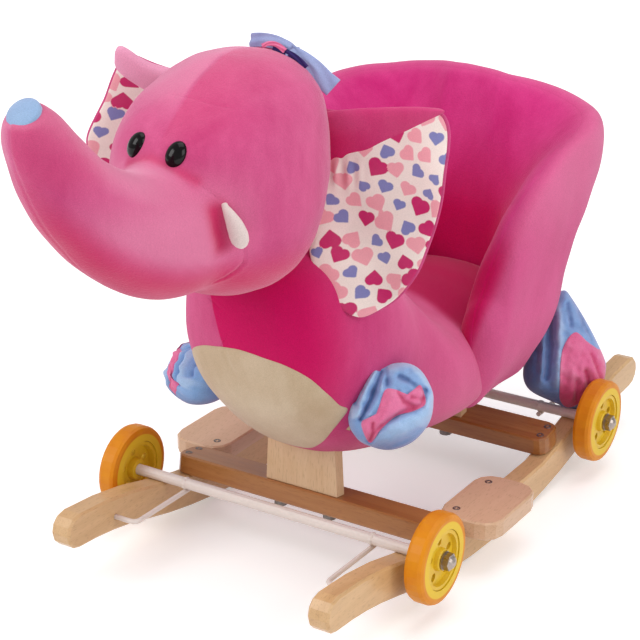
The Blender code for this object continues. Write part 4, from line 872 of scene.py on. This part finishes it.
for hand, centre, out in (("left", (0.0148, -0.3118, 0.4222), (0.24, -0.84, 0.49)),
                          ("right", (-0.0246, -0.3080, 0.4224), (-0.32, -0.85, 0.42))):
    eye = make_eye(centre, out)
    eye.name = "eye_bead_" + hand
    place_piece(eye, EYE, ["eye_" + hand])

# Tusks: stuffed felt leaves, narrow at the root and blunt at the end

for side, hand in ((1, "left"), (-1, "right")):
    start = Vector((side * 0.0538, -0.3056, 0.3862))
    aim = Vector((side * 0.36, 0.02, -0.92)).normalized()
    share = np.linspace(-0.12, 1.0, 56)
    path = np.array([start + aim * (0.0322 * v) for v in share])
    path[:, 0] += side * 0.0035 * np.sin(np.clip(share, 0, 1) * 2.6)
    size = np.interp(share, [-0.12, 0.0, 0.15, 0.40, 0.65, 0.82, 0.93, 0.98, 1.0],
                     [0.0022, 0.0030, 0.0048, 0.0070, 0.0080, 0.0072, 0.0048, 0.0024, 0.0004])
    path = local(path)
    tusk = shape(f"tusk_felt_{hand}", tube(path, size, 40, (0, 1.0, 0), 0.78), path[0], path[-1])
    relax(tusk, 1.0, 3)
    place_piece(tusk, FELT, ["tusk_" + hand])

# Ears


def closed_curve(points, count):
    """An even closed curve through points in a plane."""
    points = np.asarray(points, float)
    wrapped = np.vstack([points[-2:], points, points[:3]])
    curve = catmull(wrapped, (len(wrapped) - 1) * 24 + 1)[48:-49]
    curve = np.vstack([curve, curve[:1]])
    run = np.concatenate([[0.0], np.cumsum(np.linalg.norm(np.diff(curve, axis=0), axis=1))])
    even = np.linspace(0.0, run[-1], count, endpoint=False)
    return np.stack([np.interp(even, run, curve[:, 0]), np.interp(even, run, curve[:, 1])], 1)


def pillow(name, outline, middle, lay, front, back, rings=26, power=5.0, dent=None):
    """A stuffed sheet in a plane: lay(uv, lift) puts a point in space, front and back are its lifts."""
    outline, middle = np.asarray(outline, float), np.asarray(middle, float)
    share = np.sin(np.linspace(0.04, 1.0, rings) * math.pi / 2)
    layers = []
    for r in share:
        flat = middle + (outline - middle) * r
        layers.append((flat, (1.0 - r ** power) ** 0.5, r))
    rows = []
    for flat, edge, r in layers:
        lift = back + (front - back) * (0.5 + 0.5 * edge)
        rows.append(lay(flat, lift + (dent(flat) if dent else 0.0)))
    under = []
    for flat, edge, r in reversed(layers[:-1]):
        under.append(lay(flat, back + (front - back) * (0.5 - 0.5 * edge)))
    rings_all = rows + under
    return shape(name, rings_all)


EAR_CUP = 0.008


def ear_lay(side, slope, rest):
    normal = np.array([side * slope, -1.0, 0.0]) / math.hypot(slope, 1.0)

    def lay(flat, lift):
        """Places a sheet point (out from the middle, up) at a lift towards the front."""
        x, z = flat[:, 0], flat[:, 1]
        wide, tall = np.clip((x - 0.05) / 0.105, 0, 1), np.clip((z - 0.25) / 0.19, 0, 1)
        bend = EAR_CUP * np.sin(wide * math.pi) * np.sin(tall * math.pi)
        bend = bend + 0.0015 * np.sin(x * 95.0 + z * 40.0) + 0.0012 * np.sin(z * 120.0 - x * 30.0)
        over = 0.008 * falling(z, 0.335, 0.05) * falling(x, 0.115, 0.05)
        y = rest + slope * (x - 0.06) + bend - over
        base = np.stack([side * x, y + SHIFT, z], 1)
        return base + normal * np.broadcast_to(lift, x.shape)[:, None]

    return lay


NEAR_EAR = mm([
    (48, 425), (70, 430), (98, 434), (127, 437.5), (146, 437.5), (153.5, 428), (155.5, 408),
    (154.5, 390), (151, 368), (145.5, 343), (137.5, 320), (130, 299), (118, 280), (104, 267),
    (89.5, 258.5), (77, 262.5), (66, 273), (55, 288.5), (46, 305), (43, 322), (45, 345), (44, 385)])
FAR_EAR = mm([
    (52, 440), (75, 442), (97, 448), (114, 456.5), (122.5, 458), (127, 444), (136, 423), (144.5, 404),
    (151.5, 383), (150, 366), (142, 342), (130, 318), (115, 300), (100, 287), (86, 277.5), (73, 282),
    (62, 296), (52, 316), (46, 340), (45, 365), (46, 400)])
NEAR_FLAP = mm([
    (46, 427, 386), (56, 428.5, 385), (66, 430.5, 386.2), (76, 432.2, 390.5), (87, 433.8, 394.5),
    (98, 435.2, 401), (115, 438, 411.5), (131, 440, 422.5), (146, 440, 433.5), (151.5, 438.5, 437.2)])
FAR_FLAP = mm([
    (46, 440, 404), (66, 442, 412), (84, 445, 422), (94, 447.2, 424.5), (102, 450, 424),
    (110, 455, 427.5), (116.5, 460.5, 433.5), (121.5, 463.5, 439.5), (125, 463, 444.5),
    (127, 459, 449.5)])


HEART_ROW, HEART_COLUMN, HEART_STRAY = 0.0150, 0.0172, 0.0014
HEART_SIZES = (0.0078, 0.0079, 0.0058)


def heart_print(item, flat, seed):
    """Give a lining its print: a loose grid of hearts, each with its own size, turn and colour."""
    random = np.random.RandomState(seed)
    spots = []
    low, high = flat.min(0) - 0.01, flat.max(0) + 0.01
    for row in range(int((high[1] - low[1]) / HEART_ROW) + 1):
        for column in range(int((high[0] - low[0]) / HEART_COLUMN) + 1):
            place = np.array([(column + 0.5 * (row % 2)) * HEART_COLUMN, row * HEART_ROW])
            spot = low + place + random.uniform(-HEART_STRAY, HEART_STRAY, 2)
            ink = (column - row // 2 - (row % 2) * 2) % 3 if random.rand() < 0.85 else random.randint(3)
            size = HEART_SIZES[ink] * random.uniform(0.84, 1.08)
            turn = random.uniform(-0.9, 0.9) + (math.pi if random.rand() < 0.15 else 0.0)
            spots.append((spot, size, turn, ink))
    best, colour = np.full(len(flat), 9.0), np.zeros(len(flat))
    for spot, size, turn, ink in spots:
        u, v = (flat - spot).T / (size * 0.94)
        x = np.abs(u * math.cos(turn) + v * math.sin(turn))
        y = v * math.cos(turn) - u * math.sin(turn) + 0.86
        # distance to a heart: its point at (0, 0), its lobes of radius sqrt(2) / 4 about (1/4, 3/4)
        x, y = x * 0.58, y * 0.58
        lobe = np.hypot(x - 0.25, y - 0.75) - math.sqrt(2) / 4
        half = 0.5 * np.maximum(x + y, 0.0)
        cone = np.minimum(np.hypot(x, y - 1.0), np.hypot(x - half, y - half)) * np.sign(x - y)
        away = np.where(x + y > 1.0, lobe, cone) * size * 0.94 / 0.58 - size * 0.05
        nearer = away < best
        best, colour = np.where(nearer, away, best), np.where(nearer, (ink + 0.5) / 3, colour)
    attribute(item, "heart", np.clip(best, -0.005, 0.005))
    attribute(item, "ink", colour)


def shrink(outline, middle, by):
    """Draw an outline in by a length all round."""
    ahead = np.roll(outline, -1, 0) - np.roll(outline, 1, 0)
    inward = unit(np.stack([-ahead[:, 1], ahead[:, 0]], 1))
    toward = middle - outline
    inward = inward * np.sign(np.sum(inward * toward, 1))[:, None]
    return outline + inward * by


def make_ear(hand, side, slope, rest, outline, flap, middle, fat, painted_light_share):
    middle = np.array(middle)
    lay = ear_lay(side, slope, rest)
    edge = closed_curve(outline, 260)
    back = pillow(f"ear_back_{hand}", edge, middle, lay, 0.0034, -0.0024, 30, 8.0)
    lining_edge = shrink(edge, middle, 0.0016)

    def gathers(flat):
        top = bell(flat[:, 1] - 0.378, 0.010) * falling(flat[:, 0], 0.092, 0.02)
        return 0.0012 * top * np.sin(flat[:, 0] * 620.0)

    sheet = []

    def keep(flat, lift):
        sheet.append(flat)
        return lay(flat, lift)

    lining = pillow(f"ear_print_{hand}", lining_edge, middle, keep, 0.0058, 0.0015, 74, 9.0, gathers)
    heart_print(lining, np.concatenate(sheet + [sheet[0].mean(0)[None], sheet[-1].mean(0)[None]]), 11 + side)
    rows = catmull(flap, 60)
    sections = []
    turn = circle(56)
    for i, (x, high, low) in enumerate(rows):
        share = i / (len(rows) - 1)
        thick = lerp(fat[0], fat[1], share ** 1.5) * (1.0 - share ** 14) ** 0.5 + 0.0004
        tall = (high - low) / 2
        ripple = 0.0007 * math.sin(share * 23.0) * (1.0 - share)
        up = np.sin(turn)
        z = (high + low) / 2 + tall * signed_power(up, 0.85) + ripple * (up < 0)
        # thickest towards the fold, thin towards the free edge
        body = 0.62 + 0.38 * up
        lift = 0.0040 + thick * np.cos(turn) * body
        sections.append(lay(np.stack([np.full(56, x), z], 1), lift))
    fold = shape(f"ear_fold_{hand}", sections)
    plain = len(back.data.vertices)
    back = joined(f"ear_cover_{hand}", [back, fold])
    spots = coords(back)
    folded = (np.arange(len(spots)) >= plain).astype(float)
    inward = falling(np.abs(spots[:, 0]), 0.105, 0.05)
    # the flap folded over the lining gets painted light on the far ear and painted shade on the near ear,
    # darkest towards the head and low down
    attribute(back, "nap_and_painted_light", folded * painted_light_share)
    painted_shade_share = 0.40 + 0.55 * inward * falling(spots[:, 2], 0.425, 0.02)
    attribute(back, "painted_shade", folded * (1.0 - painted_light_share) * painted_shade_share)
    place_piece(back, EAR_PINK, ["ear_" + hand])
    place_piece(lining, HEARTS, ["ear_lining_" + hand])


make_ear("left", 1, 0.20, -0.1665, NEAR_EAR, NEAR_FLAP, (0.098, 0.350), (0.0078, 0.0034), 0.0)
make_ear("right", -1, -0.50, -0.1665, FAR_EAR, FAR_FLAP, (0.098, 0.370), (0.0105, 0.0072), 1.0)

# Belly patch: cream pile sewn flush on the chest and belly

PATCH_MIDDLE, PATCH_AIM = at(0.0, -0.125, 0.195), Vector((0.0, -0.80, -0.60)).normalized()
patch_top = PATCH_AIM.cross(Vector((0.0, 0.0, 1.0)).cross(PATCH_AIM).normalized()).normalized()


def on_torso(flat, lift):
    out = []
    for (u, v), up in zip(flat, np.broadcast_to(lift, (len(flat),))):
        start = PATCH_MIDDLE + PATCH_AIM * 0.25 + Vector((u, 0, 0)) + patch_top * v
        hit, normal = torso_tree.ray_cast(start, -PATCH_AIM)[:2]
        out.append(hit + normal * up)
    return np.array(out)


patch_half = [
    (0, 80), (28.7, 75.5), (48, 66.5), (60, 54), (67.2, 33), (70.2, 14), (72.8, 3.5), (66, -6),
    (56, -18), (44, -33.5), (28, -50), (20, -56), (10, -57.5)]
patch_edge = closed_curve(mm(patch_half + [(0, -58)] + [(-u, v) for u, v in patch_half[:0:-1]]), 200)
patch = pillow("belly_patch_cover", patch_edge, (0.0, 0.014), on_torso, 0.0013, -0.0010, 34, 12.0)
place_piece(patch, CREAM, ["belly_patch"])

# Feet: gathered paws, each sculpted over an outline seen from the front and side

FACE_OUT = unit(np.array([0.496, -0.784, 0.373]))
FACE_RIGHT = unit(np.cross(FACE_OUT, (0.0, 0.0, -1.0)))
FACE_UP = np.cross(FACE_OUT, FACE_RIGHT)


class Paw:
    """A paw blown up over an outline, with folds drawn as lines of (place, width, height)."""

    def __init__(self, centre, scale, outline, folds, front, back, painted_shade_share=0.0):
        self.centre = np.array(at(*centre))
        self.scale = scale
        self.edge = closed_curve(self.flat(outline), 400)
        self.folds = [(self.flat(line), width, height) for line, width, height in folds]
        self.front, self.back, self.painted_shade_share = front, back, painted_shade_share
        angle = np.arctan2(self.edge[:, 1], self.edge[:, 0])
        order = np.argsort(angle)
        self.angle, self.radius = angle[order], np.linalg.norm(self.edge, axis=1)[order]

    def flat(self, spots):
        return np.asarray(spots, float) * np.array([1.0, -1.0]) * self.scale

    def relief(self, flat):
        total = np.zeros(len(flat))
        for line, width, height in self.folds:
            distance = line_distance(flat, line)
            total += height * bell(distance, width)
        cloth = np.stack([flat[:, 0], flat[:, 1], flat[:, 0] * 0], 1)
        return total + wave(cloth, 0.016, 21) * 0.0011 + wave(cloth, 0.007, 22) * 0.0004

    def share(self, flat):
        angle = np.arctan2(flat[:, 1], flat[:, 0])
        edge = np.interp(angle, self.angle, self.radius, period=2 * math.pi)
        return np.clip(np.linalg.norm(flat, axis=1) / edge, 0, 1)

    def place(self, flat, depth):
        return self.centre + flat[:, :1] * FACE_RIGHT + flat[:, 1:] * FACE_UP + depth[:, None] * FACE_OUT

    def face(self, flat, lift=0.0):
        r = self.share(flat)
        dome = self.front * (1.0 - r ** 2.6) ** 0.62
        return self.place(flat, dome + (self.relief(flat) + lift) * (1.0 - r ** 10))

    def shaded(self, item, flats):
        """Paint shade into the hollows of the folds and light onto their ridges; painted shade also darkens
        the low part of the paw and, by a given amount, one side of it.
        """
        height = np.concatenate([self.relief(flat) for flat in flats] + [np.zeros(2)])
        spread = np.concatenate(flats + [np.zeros((2, 2))])
        shade = falling(spread[:, 0], -0.004, 0.034) * self.painted_shade_share
        shade = np.maximum(shade, falling(spread[:, 1], -0.010, 0.030) * 0.75)
        attribute(item, "painted_shade", np.maximum(smoothstep(-(height + 0.0004) / 0.0040) * 0.62, shade))
        attribute(item, "nap_and_painted_light", rising(height, 0.0004, 0.0040) * 0.8)
        return item

    def body(self, name):
        rings, flats = [], []
        for r in np.sin(np.linspace(0.02, 0.995, 70) * math.pi / 2):
            rings.append(self.face(self.edge * r))
            flats.append(self.edge * r)
        for r in np.sin(np.linspace(0.995, 0.03, 30) * math.pi / 2):
            rings.append(self.place(self.edge * r, np.full(400, -self.back * (1.0 - r ** 2.2) ** 0.55)))
            flats.append(self.edge * (2.0 - r))
        return self.shaded(shape(name, rings), flats)

    def insert(self, name, outline, middle, folds, lift):
        edge = closed_curve(self.flat(outline), 240)
        middle = self.flat([middle])[0]
        lines = [(self.flat(line), width, height) for line, width, height in folds]
        flats = []

        def lay(flat, up):
            extra = np.zeros(len(flat))
            for line, width, height in lines:
                extra += height * bell(line_distance(flat, line), width)
            flats.append(flat)
            return self.face(flat, np.broadcast_to(up, (len(flat),)) + extra * (up > 0))

        return self.shaded(pillow(name, edge, middle, lay, lift, -0.0018, 36, 7.0), flats)


def both_sides(item, material, slot, stem, fill, squat=1.0, drop=0.0, turn=0.0, about=(0.0, 0.0, 0.0)):
    """Place a left piece and its mirror image, which may hang lower, squatter and turned."""
    twin = item.copy()
    twin.data = item.data.copy()
    bpy.context.scene.collection.objects.link(twin)
    twin.data.transform(Matrix.Scale(-1.0, 4, (1.0, 0.0, 0.0)))
    twin.data.flip_normals()
    spots = coords(twin) - np.array(at(*about))
    x, y, z = spots.T
    cos, sin = math.cos(turn), math.sin(turn)
    spots = np.stack([x * cos - y * sin, x * sin + y * cos, z * squat - drop], 1)
    set_coords(twin, spots + np.array(at(*about)))
    item.name, twin.name = stem + "_cover_left", stem + "_cover_right"
    place_piece(item, material, [stem + "_left"])
    place_piece(twin, material, [stem + "_right"])


FRONT_PAW = Paw(
    (0.098, -0.134, 0.170), 0.000841,
    [(-42, 16), (-42, -2), (-38, -19), (-22, -38), (-2, -42), (16, -43), (30, -36), (40, -20), (43, -6),
     (39, 16), (22, 36), (-2, 44), (-26, 38), (-37, 28)],
    [([(-17, -36), (-27, -12), (-34, 6)], 0.0034, 0.0040),
     ([(-10, -34), (-20, -6), (-30, 12)], 0.0024, -0.0060), ([(-26, -34), (-36, -6)], 0.0028, -0.0045),
     ([(-5, -38), (-14, -10), (-22, 6)], 0.0030, 0.0030), ([(-6, -42), (-5, -22)], 0.0026, -0.0046),
     ([(0, -38), (12, -34), (26, -22), (30, -14)], 0.0030, 0.0020),
     ([(8, -30), (20, -24), (30, -18), (38, -15)], 0.0030, -0.0050),
     ([(4, -42), (20, -42), (34, -30), (41, -10), (40, 6)], 0.0050, 0.0045),
     ([(-22, 34), (-10, 18), (8, 6), (30, -2), (34, -16)], 0.0026, -0.0050),
     ([(-18, 36), (0, 26), (22, 16), (36, 6)], 0.0090, 0.0045),
     ([(6, -14), (12, -6), (20, -2)], 0.0024, -0.0036), ([(-20, 34), (-18, 16)], 0.0020, -0.0040),
     ([(20, -10), (30, -8)], 0.0022, -0.0024), ([(-30, -28), (-38, -8), (-38, 10)], 0.0022, 0.0026),
     ([(-14, -40), (-24, -22), (-32, -4)], 0.0018, 0.0030),
     ([(-2, 40), (12, 34), (28, 24)], 0.0030, -0.0018)],
    0.026, 0.034)
front_paw = FRONT_PAW.body("front_paw")
front_sole = FRONT_PAW.insert(
    "front_sole", [(-6.5, -17), (2.5, -18), (12.5, -14), (19, -13), (29, -21.5), (34, -4), (22.5, 3.5),
                   (7.5, 7.5),
                   (-2.5, 14), (-12, 24), (-21, 36), (-29, 21), (-28, 13), (-18, 11), (-12.5, -1)], (1, -2),
    [([(-14, 18), (-4, 2), (2, -12)], 0.0030, 0.0016)], 0.0022)
FAR_FOOT = (0.80, 0.0115, -0.36, (-0.098, -0.134, 0.170))
both_sides(front_paw, FOOT_BLUE, "plush_blue", "front_foot", 0.75, *FAR_FOOT)
both_sides(front_sole, PAD_PINK, "plush_pad", "front_pad", 0.5, *FAR_FOOT)

REAR_PAW = Paw(
    (0.112, 0.180, 0.106), 0.000979,
    [(0, -66), (8, -58), (25, -30), (39.5, 0), (42, 13), (37, 30), (17, 50), (4, 53), (-6, 48),
     (-30, 37), (-39, 27), (-40.5, 12), (-34, -12), (-22, -38), (-10, -58)],
    [([(-16, -40), (-17, -10), (-20, 20)], 0.0040, -0.0070),
     ([(-8, -50), (-9, -10), (-10, 34)], 0.0042, 0.0040), ([(-28, -20), (-30, 14)], 0.0036, -0.0040),
     ([(-24, -20), (-26, 24)], 0.0030, 0.0030), ([(2, -52), (4, -30)], 0.0030, -0.0030),
     ([(14, -44), (26, -16)], 0.0030, -0.0022), ([(10, 44), (9, 24)], 0.0024, -0.0032),
     ([(24, 36), (18, 14)], 0.0024, -0.0034), ([(34, 22), (24, -2)], 0.0024, -0.0030),
     ([(-34, -8), (-37, 20)], 0.0030, -0.0030)],
    0.030, 0.030, 0.8)
rear_paw = REAR_PAW.body("rear_paw")
rear_sole = REAR_PAW.insert(
    "rear_sole", [(9, -24), (20, -15), (31, -8), (37, -5), (40.5, 7), (40.5, 20), (33, 33), (20, 43), (5, 51),
                  (-3, 47), (-7, 37), (-8, 13), (-6, -5), (0, -18)], (14, 16),
    [([(4, 46), (4, 10)], 0.0030, 0.0016), ([(17, 38), (13, 10)], 0.0030, 0.0016),
     ([(30, 28), (22, 4)], 0.0028, 0.0016)], 0.0026)
both_sides(rear_paw, FOOT_BLUE, "plush_blue", "rear_foot", 0.75)
both_sides(rear_sole, PAD_PINK, "plush_pad", "rear_pad", 0.5)

# Ribbon on the crown: a loop, a tail, a fold painted dark navy as shade under the tail and a knot, with pink
# linings


def on_head(x, y, lift):
    middle = at(0.0, HEAD_Y, HEAD_Z)
    way = Vector((x, y - HEAD_Y, HEAD_HEIGHT / 2)).normalized()
    hit = head_tree.ray_cast(middle, way)[0]
    return np.array(hit + way * lift)


def ribbon(name, spine, wide, thick, across, crease=0.0):
    """A soft strip along a spine of (x, y, lift over the head) in millimetres; wide is its half width."""
    rows = catmull(mm(spine), 90)
    rings = []
    turn = circle(44)
    centres = np.array([on_head(x, y, lift) for x, y, lift in rows])
    ahead = unit(np.gradient(centres, axis=0))
    side = unit(np.array(across) - ahead * (ahead @ np.array(across))[:, None])
    up = np.cross(side, ahead)
    for i, centre in enumerate(centres):
        share = i / (len(centres) - 1)
        half = lerp(wide[0], wide[1], smoothstep(share))
        u = np.cos(turn)
        drop = crease * bell(u, 0.22) * (1.0 - share)
        v = thick * signed_power(np.sin(turn), 0.6) - drop + 0.0004 * np.sin(u * 5 + share * 9)
        rings.append(centre + side[i] * (u * half)[:, None] + up[i] * v[:, None])
    return shape(name, rings)


BOW_X, BOW_Y = 0.026, -0.166
STANDING, SPREAD = (0.0, 0.30, 0.95), (0.36, 0.55, 0.70)
blue = [
    ribbon("fold", [(14, -178, 1), (24, -177, 2.2), (36, -172, 2.2), (50, -166, 0.8)],
           (0.0022, 0.0026), 0.0010, STANDING),
    ribbon("loop", [(26, -171, 4), (14, -174, 6), (1, -175, 6.6), (-10.4, -173, 6), (-13.6, -168, 5.8),
                    (-10.8, -163, 6), (1, -159, 6.6), (14, -160, 6), (26, -163, 4)],
           (0.0056, 0.0056), 0.0010, STANDING),
    ribbon("tail", [(25, -167, 3.5), (38, -161, 4.4), (54, -153, 5.2), (72, -143, 7), (90, -133, 11.2)],
           (0.0056, 0.0082), 0.0011, SPREAD, 0.0008),
]
pink = [
    ribbon("lining", [(26, -178, 3), (18, -180, 5), (10.5, -181, 4.4), (5, -181, 1.4)],
           (0.0022, 0.0018), 0.0009, STANDING),
    ribbon("inner", [(24, -169.5, 4), (1, -173.2, 6.2), (-11.8, -168, 5.6), (1, -160.6, 6.2), (24, -164, 4)],
           (0.0046, 0.0046), 0.0007, STANDING),
]
knot_way = unit(np.array([BOW_X, BOW_Y - HEAD_Y, HEAD_HEIGHT / 2]))
knot_rings = []
for a in np.linspace(-1.45, 1.45, 26):
    turn = circle(40)
    pleat = 1.0 + 0.07 * np.cos(turn * 5.0)
    middle = on_head(BOW_X, BOW_Y, 0.0030) + np.array([0.0, 1.0, 0.0]) * 0.0100 * math.sin(a)
    rise = np.outer(np.sin(turn) * pleat, knot_way) * 0.0040 * math.cos(a) ** 0.5
    spread = np.outer(np.cos(turn) * pleat, (1.0, 0, 0)) * 0.0044 * math.cos(a) ** 0.5
    knot_rings.append(middle + spread + rise)
blue.append(shape("knot", knot_rings))
# the fold under the tail is painted dark navy, as painted shade
folded = np.concatenate([np.full(len(part.data.vertices), float(part is blue[0])) for part in blue])
bow = joined("head_bow", blue)
attribute(bow, "nap_and_painted_light", folded)
place_piece(bow, BOW_BLUE, ["head_ribbon"])
place_piece(joined("head_bow_lining", pink), PAD_PINK)

# Small countersunk screws in the crossbars and footrests


def screw(centre, normal, twist):
    """A screw head with a crosshead recess, as one relief over a disc."""
    normal = Vector(normal).normalized()
    across = normal.orthogonal().normalized()
    up = normal.cross(across)
    count = 48
    turn = circle(count) + twist
    rings = []
    for r in np.concatenate([np.linspace(0.0003, 0.0030, 15), [0.0033, 0.0036]]):
        x, y = r * np.cos(turn - twist), r * np.sin(turn - twist)
        arm = np.minimum(np.maximum(np.abs(x) / 0.00055, np.abs(y) / 0.0021),
                         np.maximum(np.abs(y) / 0.00055, np.abs(x) / 0.0021))
        depth = 0.0007 * falling(arm, 1.25, 0.5)
        level = 0.00025 - (0.0004 if r > 0.0034 else 0.0) - depth
        spot = np.outer(r * np.cos(turn), across) + np.outer(r * np.sin(turn), up) + np.outer(level, normal)
        rings.append(spot + np.array(centre))
    below = np.outer(0.0036 * np.cos(turn), across) + np.outer(0.0036 * np.sin(turn), up)
    rings.append(below * 0.6 + np.array(centre) - np.array(normal) * 0.0022)
    return shape("screw", rings)


screws = []
BAR_CENTRE_Y, BAR_CENTRE_Z, BAR_TILT, BAR_THICK = 0.108006, 0.0496568, 0.1570737, 0.0185
for end in (-1, 1):
    tilt = end * BAR_TILT
    up = Vector((0.0, -math.sin(tilt), math.cos(tilt)))
    along = Vector((0.0, math.cos(tilt), math.sin(tilt)))
    middle = at(0.0, end * BAR_CENTRE_Y, BAR_CENTRE_Z) + up * (BAR_THICK / 2)
    for x in (-0.1285, 0.1285):
        for step in (-0.008, 0.008):
            screws.append(screw(middle + Vector((x, 0, 0)) + along * step, up, 0.4 + x * 9 + step * 70))
for x in (-0.129, 0.129):
    for y in (-0.0685, -0.0075):
        screws.append(screw(at(x, y, 0.0533), (0, 0, 1), 0.9 + y * 20))
place_piece(joined("wood_screws", screws), STEEL)

# Weld beads where the wire stays meet the axles

AXLE_Y, AXLE_Z = 0.1614, 0.0563862

for end, body in ((-1, "front_wheel_frame"), (1, "rear_wheel_frame")):
    beads = []
    for x in (-0.098, 0.098):
        centre = at(x, end * AXLE_Y, AXLE_Z)
        turn = circle(48)
        rings = []
        for a in circle(18):
            fat = 0.0011 * (1.0 + 0.25 * np.sin(turn * 9.0))
            radius = 0.0046 + fat * math.cos(a)
            rings.append(np.array(centre) + np.stack([
                fat * 1.9 * math.sin(a), radius * np.cos(turn), radius * np.sin(turn)], 1))
        count = len(rings)
        verts = np.array(rings).reshape(-1, 3)
        faces = []
        for i in range(count):
            here, ahead = i * 48, (i + 1) % count * 48
            faces += [(here + j, here + k, ahead + k, ahead + j)
                      for j, k in zip(range(48), [*range(1, 48), 0])]
        beads.append(mesh_object("bead", verts, faces))
    stem = "front" if end < 0 else "rear"
    place_piece(joined(stem + "_weld_beads", beads), WIRE, body=body)

# Floor, light and background

# added for camera, glossy and transmission rays alone, so that the lit floor reads white
FLOOR_LIFT = 0.32
WORLD_LIGHT = 0.55
stage = Tree("floor_white")
rays = stage.node("ShaderNodeLightPath")
seen = stage.math("MAXIMUM", rays.outputs["Is Glossy Ray"], rays.outputs["Is Transmission Ray"])
seen = stage.math("MAXIMUM", rays.outputs["Is Camera Ray"], seen)
FLOOR = stage.finish((0.93, 0.93, 0.93), 0.9, Specular_IOR_Level=0.0,
                     Emission_Color=(1.0, 1.0, 1.0, 1.0))
floor_shader = next(n for n in stage.nodes if n.type == "BSDF_PRINCIPLED")
away = stage.node("ShaderNodeVectorMath", {0: stage.place()}, operation="LENGTH").outputs["Value"]
beyond = stage.math("MAXIMUM", stage.math("SUBTRACT", away, 0.8), 0.0)
lift = stage.math("MULTIPLY_ADD", beyond, 0.25, FLOOR_LIFT)
stage.put(floor_shader.inputs["Emission Strength"], stage.math("MULTIPLY", seen, lift))
floor_mesh = bpy.data.meshes.new("floor")
floor_mesh.from_pydata([(-6, -6, 0), (6, -6, 0), (6, 6, 0), (-6, 6, 0)], [], [(0, 1, 2, 3)])
floor = add_object("floor", floor_mesh)
floor.location.z = -0.0005
floor_mesh.materials.append(FLOOR)

world = bpy.data.worlds.new("world")
bpy.context.scene.world = world
tree = Tree("world", world)
strength = tree.math("MULTIPLY_ADD", tree.node("ShaderNodeLightPath").outputs["Is Camera Ray"],
                     1.0 - WORLD_LIGHT, WORLD_LIGHT)
background = tree.node("ShaderNodeBackground", {"Color": (1.0, 1.0, 1.0, 1.0), "Strength": strength})
tree.node("ShaderNodeOutputWorld", {"Surface": background})


def lamp(name, place, target, size, power):
    data = bpy.data.lights.new(name, "AREA")
    data.shape = "SQUARE"
    data.size = size
    data.energy = power
    aimed(name, data, place, target)


lamp("key", (-1.1, -1.9, 1.7), (0, 0, 0.25), 1.3, 26)
lamp("side", (2.0, -0.2, 1.2), (0, 0, 0.25), 1.2, 14)
lamp("top", (0.2, 0.3, 2.2), (0, 0, 0.2), 1.6, 14)

bpy.context.scene.view_settings.view_transform = "Standard"
